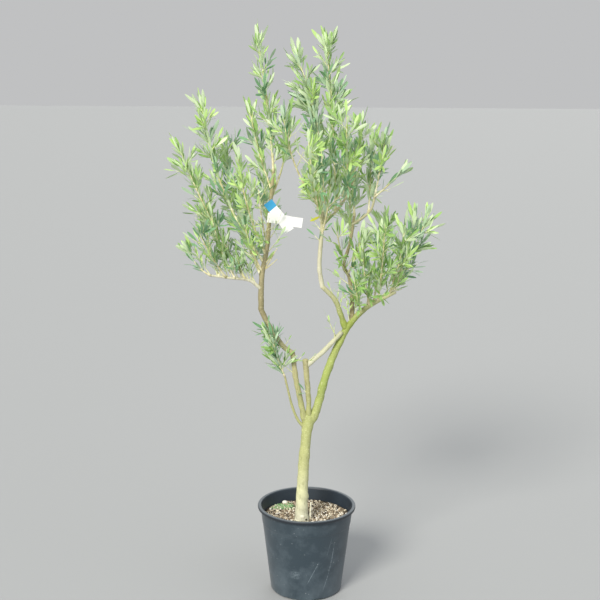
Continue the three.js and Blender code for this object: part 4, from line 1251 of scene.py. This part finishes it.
def makePotMaterial():
    material, tree, shader = newMaterial("mouldedPolypropylene")
    place = addNode(tree, "TexCoord").outputs["Object"]
    parts = addNode(tree, "SeparateXYZ", links={0: place})
    height = parts.outputs["Z"]
    turn = addNode(tree, "Math", {"operation": "ARCTAN2"}, {0: parts.outputs["Y"], 1: parts.outputs["X"]})
    # dust in clouds, thicker towards the foot
    cloud = addNode(tree, "TexNoise", {"Scale": 1 / (potGrain["cloud"] * mm), "Detail": 6.0,
                                       "Roughness": 0.68}, {"Vector": place})
    low = addNode(tree, "MapRange", {"From Min": potGrain["dustHigh"] * mm, "From Max": 0.0, "To Min": 0.0,
                                     "To Max": 0.2}, {"Value": height})
    dusty = addNode(tree, "Math", {"operation": "ADD"}, {0: cloud.outputs[0], 1: low.outputs[0]})
    dust = addNode(tree, "ValToRGB", {"stops": [(0.48, grey(0)), (0.85, grey(0.34))]},
                   {"Fac": dusty.outputs[0]})
    base = addNode(tree, "Mix", {"data_type": "RGBA", 6: linear(pot["colour"]), 7: linear(pot["dust"])},
                   {0: dust.outputs[0]})
    # thin leaning scratches that fade out towards the step, and the marks of potMarks
    leaning = addNode(tree, "Mapping", {"vector_type": "TEXTURE", "Scale": potGrain["scratchStretch"],
                                        "Rotation": (0, radians(potGrain["scratchLean"]), 0)},
                      {"Vector": place})
    scratch = addNode(tree, "TexNoise", {"Scale": 1 / (potGrain["scratch"] * mm), "Detail": 1.0,
                                         "Distortion": 0.6}, {"Vector": leaning.outputs[0]})
    thin = addNode(tree, "ValToRGB", {"stops": [(0.73, grey(0)), (0.8, grey(0.36))]},
                   {"Fac": scratch.outputs[0]})
    handled = addNode(tree, "MapRange", {"From Min": potGrain["untouched"] * mm,
                                         "From Max": potGrain["handled"] * mm}, {"Value": height})
    scored = addNode(tree, "Math", {"operation": "MULTIPLY"}, {0: thin.outputs[0], 1: handled.outputs[0]})
    rub = addNode(tree, "TexNoise", {"Scale": 1 / (potGrain["rub"] * mm), "Detail": 4.0, "Roughness": 0.7},
                  {"Vector": place})
    broken = addNode(tree, "MapRange", {"From Min": 0.38, "From Max": 0.58}, {"Value": rub.outputs[0]})
    for mark in potMarks:
        share = markShare(tree, dict(zip(markNames, mark)), height, turn.outputs[0])
        wearAndRimHighlight = addNode(tree, "Math", {"operation": "MULTIPLY"}, {0: share.outputs[0], 1: broken.outputs[0]})
        scored = addNode(tree, "Math", {"operation": "MAXIMUM"}, {0: scored.outputs[0], 1: wearAndRimHighlight.outputs[0]})
    scored = addNode(tree, "Mix", {"data_type": "RGBA", 7: linear(pot["scratch"])},
                     {0: scored.outputs[0], 6: base.outputs[2]})
    # pale specks in patches
    specks = addNode(tree, "TexVoronoi", {"Scale": 1 / (potGrain["speck"] * mm), "Randomness": 1.0},
                     {"Vector": place})
    speckShare = addNode(tree, "ValToRGB", {"stops": [(0.0, grey(0.75)), (0.17, grey(0))]},
                         {"Fac": specks.outputs["Distance"]})
    patches = addNode(tree, "TexNoise", {"Scale": 1 / (potGrain["speckPatch"] * mm), "Detail": 2.0},
                      {"Vector": place})
    where = addNode(tree, "ValToRGB", {"stops": [(0.52, grey(0)), (0.6, grey(1))]},
                    {"Fac": patches.outputs[0]})
    speckled = addNode(tree, "Math", {"operation": "MULTIPLY"},
                       {0: speckShare.outputs[0], 1: where.outputs[0]})
    spotted = addNode(tree, "Mix", {"data_type": "RGBA", 7: linear(pot["speck"])},
                      {0: speckled.outputs[0], 6: scored.outputs[2]})
    # painted shade that darkens the whole lip, and a painted highlight along its top edge
    lipFoot = pot["height"] - pot["lip"]
    lip = addNode(tree, "MapRange", {"From Min": (lipFoot - 1) * mm, "From Max": lipFoot * mm},
                  {"Value": height})
    lipped = addNode(tree, "Mix", {"data_type": "RGBA", 7: linear(pot["lipShade"])},
                     {0: lip.outputs[0], 6: spotted.outputs[2]})
    # painted highlight: a pale band along the rim's top edge
    edge = addNode(tree, "MapRange", {"From Min": (pot["height"] - 1.6) * mm, "To Max": 0.26,
                                      "From Max": (pot["height"] - 0.2) * mm}, {"Value": height})
    final = addNode(tree, "Mix", {"data_type": "RGBA", 7: linear(pot["wearAndRimHighlight"])},
                    {0: edge.outputs[0], 6: lipped.outputs[2]})
    tree.links.new(final.outputs[2], shader.inputs["Base Color"])
    shader.inputs["Sheen Weight"].default_value = 0.1
    gloss = addNode(tree, "MapRange", {"To Min": 0.38, "To Max": 0.66}, {"Value": cloud.outputs[0]})
    tree.links.new(gloss.outputs[0], shader.inputs["Roughness"])
    grain = addNode(tree, "TexNoise", {"Scale": 1 / (potGrain["grain"] * mm), "Detail": 2.0},
                    {"Vector": place})
    bump = addNode(tree, "Bump", {"Strength": 0.2, "Distance": 0.15 * mm}, {"Height": grain.outputs[0]})
    tree.links.new(bump.outputs[0], shader.inputs["Normal"])
    return material


def makeCleanShadedWall():
    # the inside above the soil, clean of dust and scuffs, and painted darker than the outside as the shade
    # within the pot
    material, tree, shader = newMaterial("cleanShadedPolypropylene")
    shader.inputs["Base Color"].default_value = linear(pot["inside"])
    place = addNode(tree, "TexCoord").outputs["Object"]
    cloud = addNode(tree, "TexNoise", {"Scale": 1 / (potGrain["insideCloud"] * mm), "Detail": 4.0},
                    {"Vector": place})
    gloss = addNode(tree, "MapRange", {"To Min": 0.4, "To Max": 0.6}, {"Value": cloud.outputs[0]})
    tree.links.new(gloss.outputs[0], shader.inputs["Roughness"])
    return material


def makePot():
    # the profile runs from the middle of the underside up the outside, over the lip and down to the floor
    rim, lipBottom, lipRound = pot["rim"] / 2, pot["height"] - pot["lip"], pot["lipRound"]
    inner, outer = pot["channelInner"], pot["channelOuter"]
    slant, high = pot["channelSlant"], pot["footHigh"]
    outside = [*pot["wallHeights"], pot["step"] - pot["stepHigh"], pot["step"], lipBottom]
    inside = [pot["height"] - pot["innerRound"], pot["insideHeight"], pot["floorTop"]]
    outline = [
        (0, 0), (inner, 0), (inner + slant, high), (outer - slant, high), (outer, 0),
        (potOutside(0) - pot["footIn"], 0), *[(potOutside(z), z) for z in outside],
        (rim - pot["lipCut"][0], lipBottom), (rim, lipBottom + pot["lipCut"][1]),
        (rim, pot["height"] - lipRound), (rim - lipRound, pot["height"]),
        (potInside(pot["height"]) + lipRound, pot["height"]),
        *[(potInside(z), z) for z in inside], (0, pot["floorTop"])]
    outline = softened(outline, pot["round"])
    points, faces = turnedSurface(outline, pot["sides"], notchLift)
    rows = len(outline) - 3
    # the inside faces take the clean material, painted dark as shade
    cleanShadedFaces = np.zeros(len(faces), int)
    cleanShadedFaces[(rows - len(inside) * cornerPoints) * pot["sides"]:rows * pot["sides"]] = 1
    piece = meshPiece("pot_shell", points, faces, [makePotMaterial(), makeCleanShadedWall()], cleanShadedFaces,
                      sharpAngle=50)
    turn = 2 * pi * (np.arange(pot["drains"]) * 2 + pot["notchTurn"]) / pot["notches"]
    middle = (inner + outer) / 2
    cutters = []
    for angle in turn:
        line = np.array([[middle * cos(angle), middle * sin(angle), z] for z in pot["drainCut"]])
        cutters.append(roundTube(line, np.full(2, pot["drainWide"] / 2), pot["drainSides"]))
    cutPoints, cutFaces = joined(cutters)
    mesh = bpy.data.meshes.new("drainCutter")
    mesh.from_pydata((cutPoints * mm).tolist(), [], cutFaces)
    cutter = bpy.data.objects.new("drainCutter", mesh)
    bpy.context.scene.collection.objects.link(cutter)
    holes = piece.modifiers.new("drains", "BOOLEAN")
    holes.operation, holes.object, holes.solver = "DIFFERENCE", cutter, "EXACT"
    graph = bpy.context.evaluated_depsgraph_get()
    drilled = bpy.data.meshes.new_from_object(piece.evaluated_get(graph))
    piece.modifiers.clear()
    piece.data = drilled
    bpy.data.objects.remove(cutter)
    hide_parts("pot")


makePot()
print("pot made")

# Potting mix: damp dark compost pressed level, which shows as dark gaps between brown bark chips, cream
# pumice and white grit, with a patch of soft green moss and one pale smooth pebble
soil = {
    "top": 184.6, "floor": 8.5, "sides": 96, "rings": 44, "clear": 0.4, "seed": 7, "waves": 14,
    "waveLong": 34, "waveHigh": 0.65, "mound": 1.2, "moundWide": 32, "trunkClear": 4, "bitSeed": 17,
    "bitGrain": 1.5, "bitClear": 0.6, "bitRaise": (-0.1, 0.5), "mossSeed": 37, "mossPlace": (-58, 58),
    "mossWide": 24, "mossDeep": 0.7, "mossTufts": 900, "mossClear": 3, "mossRaise": 0.9,
    "mossSize": (1.6, 3.6), "mossTall": 1.1, "mossRough": 0.3, "pebblePlace": (-55, 82), "pebbleRaise": 3,
    "pebbleHalves": (6.6, 5.2, 4.6),
}
bits = {
    "bark_chips": {"count": 1250, "long": (4.5, 11), "wide": 0.48, "thick": 0.3,
                   "colours": ("#6f604f", "#857560", "#3c332a", "#b3a188"), "rough": 0.85},
    "pumice_grit": {"count": 1250, "long": (2.6, 6.2), "wide": 0.85, "thick": 0.75,
                    "colours": ("#c6bba4", "#e2dac5", "#9c917c"), "rough": 0.9},
    "white_grit": {"count": 380, "long": (2.6, 6.4), "wide": 0.75, "thick": 0.65,
                   "colours": ("#f9f6ee", "#e8e4d8"), "rough": 0.8},
}


trunkX, trunkY = limbs["trunk"]["path"][0][:2]


def soilHeight(x, y):
    # a level top with seeded low waves, a little higher round the trunk
    pick = np.random.default_rng(soil["seed"])
    total = 0
    for _ in range(soil["waves"]):
        wave = pick.normal(0, 2 * pi / soil["waveLong"], 2)
        total = total + np.cos(wave[0] * x + wave[1] * y + pick.uniform(0, 2 * pi))
    mound = soil["mound"] * np.exp(-((x - trunkX) ** 2 + (y - trunkY) ** 2) / soil["moundWide"] ** 2)
    return soil["top"] + soil["waveHigh"] * total / soil["waves"] ** 0.5 + mound


def solidLumps(places, sizes, pick, rough=0.16, lean=0.38):
    # an icosahedron stretched to each size, its corners jittered, turned at random and set at each place
    gold = (1 + 5 ** 0.5) / 2
    corners = np.array([(-1, gold, 0), (1, gold, 0), (-1, -gold, 0), (1, -gold, 0), (0, -1, gold),
                        (0, 1, gold), (0, -1, -gold), (0, 1, -gold), (gold, 0, -1), (gold, 0, 1),
                        (-gold, 0, -1), (-gold, 0, 1)]) / (1 + gold ** 2) ** 0.5
    triangles = np.array([(0, 11, 5), (0, 5, 1), (0, 1, 7), (0, 7, 10), (0, 10, 11), (1, 5, 9), (5, 11, 4),
                          (11, 10, 2), (10, 7, 6), (7, 1, 8), (3, 9, 4), (3, 4, 2), (3, 2, 6), (3, 6, 8),
                          (3, 8, 9), (4, 9, 5), (2, 4, 11), (6, 2, 10), (8, 6, 7), (9, 8, 1)])
    count = len(places)
    jitter = pick.uniform(-rough, rough, (count, len(corners), 1))
    lumps = corners[None] * (1 + jitter) * sizes[:, None] / 2
    spin = pick.uniform(0, 2 * pi, count)
    tilt, nod = pick.normal(0, lean, count), pick.normal(0, lean, count)
    for angle, (one, two) in ((tilt, (0, 2)), (nod, (1, 2)), (spin, (0, 1))):
        first, second = lumps[..., one].copy(), lumps[..., two].copy()
        lumps[..., one] = first * np.cos(angle)[:, None] - second * np.sin(angle)[:, None]
        lumps[..., two] = first * np.sin(angle)[:, None] + second * np.cos(angle)[:, None]
    points = (lumps + places[:, None]).reshape(-1, 3)
    faces = (triangles[None] + len(corners) * np.arange(count)[:, None, None]).reshape(-1, 3)
    return points, faces


def soilPlaces(count, pick, margin):
    # seeded places on the top, off the trunk's foot
    reach = potInside(soil["top"]) - margin
    radius = reach * np.sqrt(pick.uniform(0, 1, count * 2))
    turn = pick.uniform(0, 2 * pi, count * 2)
    x, y = radius * np.cos(turn), radius * np.sin(turn)
    keep = np.hypot(x - trunkX, y - trunkY) > limbs["trunk"]["from"] + soil["trunkClear"]
    x, y = x[keep][:count], y[keep][:count]
    return np.stack([x, y, soilHeight(x, y)], -1)


def makeSoil():
    # P(r, a) = (r cos a, r sin a, soilHeight), then down the wall to the pot's floor
    edge, floor = potInside(soil["top"]) - soil["clear"], potInside(soil["floor"]) - soil["clear"]
    radius = np.concatenate([[floor], np.linspace(edge, 2, soil["rings"])])[:, None]
    turn = (2 * pi * np.arange(soil["sides"]) / soil["sides"])[None, :]
    x, y = radius * np.cos(turn), radius * np.sin(turn)
    z = soilHeight(x, y)
    z[0] = soil["floor"]
    points = np.stack([x, y, z], -1).reshape(-1, 3)
    points = np.vstack([points, [[0, 0, soil["floor"]], [0, 0, soilHeight(0.0, 0.0)]]])
    faces = gridFaces(len(radius), soil["sides"])
    earth = plainEarth("dampCompost", ("#3f372c", "#574c3d", "#6e6250"), 0.95, 3.5)
    base = meshPiece("potting_mix", points, faces, [earth])
    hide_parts("soil")
    for number, (name, kind) in enumerate(bits.items()):
        pick = np.random.default_rng(soil["bitSeed"] + number)
        places = soilPlaces(kind["count"], pick, kind["long"][1] / 2 + soil["bitClear"])
        long = pick.uniform(*kind["long"], len(places))
        sizes = np.stack([long, long * kind["wide"], long * kind["thick"]], -1)
        places[:, 2] += sizes[:, 2] * pick.uniform(*soil["bitRaise"], len(places))
        lumpPoints, lumpFaces = solidLumps(places, sizes, pick)
        tones = [plainEarth(name + "Tone" + str(i), (colour, colour), kind["rough"], soil["bitGrain"])
                 for i, colour in enumerate(kind["colours"])]
        tone = np.repeat(pick.integers(0, len(tones), len(places)), len(lumpFaces) // len(places))
        meshPiece(name, lumpPoints, lumpFaces.tolist(), tones, tone, sharpAngle=20)


def makeMoss():
    # a low cushion of small green tufts, closest together at its middle
    pick = np.random.default_rng(soil["mossSeed"])
    spread = pick.normal(0, soil["mossWide"] / 2, (soil["mossTufts"], 2)) * [1.0, soil["mossDeep"]]
    x, y = soil["mossPlace"][0] + spread[:, 0], soil["mossPlace"][1] + spread[:, 1]
    inside = np.hypot(x, y) < potInside(soil["top"]) - soil["mossClear"]
    x, y = x[inside], y[inside]
    places = np.stack([x, y, soilHeight(x, y) + soil["mossRaise"]], -1)
    sizes = np.repeat(pick.uniform(*soil["mossSize"], (len(places), 1)), 3, 1) * [1, 1, soil["mossTall"]]
    points, faces = solidLumps(places, sizes, pick, soil["mossRough"])
    tones = [plainEarth("mossGreen", ("#44703f", "#6fa563"), 0.95, 1.2),
             plainEarth("mossPale", ("#8fb884", "#bcd7aa"), 0.95, 1.2)]
    tone = np.repeat(pick.integers(0, len(tones), len(places)), len(faces) // len(places))
    meshPiece("moss", points, faces.tolist(), tones, tone)


def makePebble():
    # one pale rounded stone
    x, y = soil["pebblePlace"]
    middle = (x, y, soilHeight(x, y) + soil["pebbleRaise"])
    points, faces = ballSurface(middle, np.array(soil["pebbleHalves"]))
    stone = plainEarth("palePebble", ("#dfdfd2", "#f4f4ea"), 0.6, 3.0)
    meshPiece("pebble", points, faces, [stone])


makeSoil()
makeMoss()
makePebble()
print("potting mix made")

# Dead stub: a matt dry grey-cream stick, worn down and uneven at its top. Its colours are painted paler than
# the wood, as painted light against the trunk's shadow on it.
stub = {"foot": (9, -22), "below": 2, "middle": (9.4, -22, 205), "top": (10.5, -21, 228), "radius": 2.6,
        "taper": 0.2, "broken": 0.72, "sides": 20, "ringStep": 1.5, "seed": 70, "grain": 0.09,
        "grainLong": 42, "grainWaves": (30, 6, 4)}


def makeDeadStub():
    base = (*stub["foot"], soil["top"] - stub["below"])
    path = curveThrough([base, stub["middle"], stub["top"]], stub["ringStep"])
    share = np.linspace(0, 1, len(path))[:, None]
    turn = (2 * pi * np.arange(stub["sides"]) / stub["sides"])[None, :]
    relief = ripple(stub["seed"], share * stub["grainLong"], turn, *stub["grainWaves"])
    radius = stub["radius"] * (1 - stub["taper"] * share) * (1 + stub["grain"] * relief)
    radius[-1] *= stub["broken"]
    points, faces = roundTube(path, radius, stub["sides"])
    # painted light: paler than the wood, against the trunk's shadow
    dry = makeTwigMaterial("dryDeadWood", ("#d2cfb8", "#e6e4d2", "#f2f0e4"))
    piece = meshPiece("dead_stub_wood", points, faces, [dry], sharpAngle=50)
    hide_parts("dead_stub")


makeDeadStub()

# Label: blank white polypropylene film in two strips that cross in front of the left leader, one of them
# with an end dyed blue. Smooth film with a slight gloss, the whitest thing in the crown.
label = {
    "wide": 23, "thick": 0.7, "back": 5.4, "apart": 1.4, "crossBow": 1.5, "hangingBow": 1.2, "haze": 12,
    "cross": [(-97, 921.5), (-72, 919), (-42, 913), (-15, 909)],
    "hanging": [(-84, 942), (-65, 920), (-45, 890)],
    "blueEnd": [(-96, 958), (-90, 950), (-83, 940.5)],
}


def strip(name, line, material, bow, back):
    # a flat outline carried along a line that bows towards the viewer
    line = np.array([(x, back, z) for x, z in line], float)
    path = curveThrough(line, 2.0)
    share = np.linspace(0, 1, len(path))
    path[:, 1] -= bow * np.sin(pi * share)
    half, thin = label["wide"] / 2, label["thick"] / 2
    outline = np.array([(-half, -thin), (half, -thin), (half, thin), (-half, thin)])
    offsets = np.repeat(outline[None], len(path), 0)
    points, faces = sweptSurface(path, offsets, np.array([0.0, 1, 0]))
    return meshPiece(name, points, faces, [material], sharpAngle=30)


def makeFilm(name, colour):
    material, tree, shader = newMaterial(name)
    shader.inputs["Base Color"].default_value = linear(colour)
    place = addNode(tree, "TexCoord").outputs["Object"]
    haze = addNode(tree, "TexNoise", {"Scale": 1 / (label["haze"] * mm), "Detail": 2.0}, {"Vector": place})
    gloss = addNode(tree, "MapRange", {"To Min": 0.32, "To Max": 0.5}, {"Value": haze.outputs[0]})
    tree.links.new(gloss.outputs[0], shader.inputs["Roughness"])
    return material


whiteFilm = makeFilm("whiteLabelFilm", "#fbfcfc")
blueFilm = makeFilm("blueLabelFilm", "#3fa6dc")
crossStrip = strip("label_strip", label["cross"], whiteFilm, label["crossBow"], label["back"])
inFront = label["back"] - label["apart"]
strip("label_loose_end", label["hanging"], whiteFilm, label["hangingBow"], inFront)
strip("label_blue_end", label["blueEnd"], blueFilm, 0, inFront)
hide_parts("label")
print("label made")
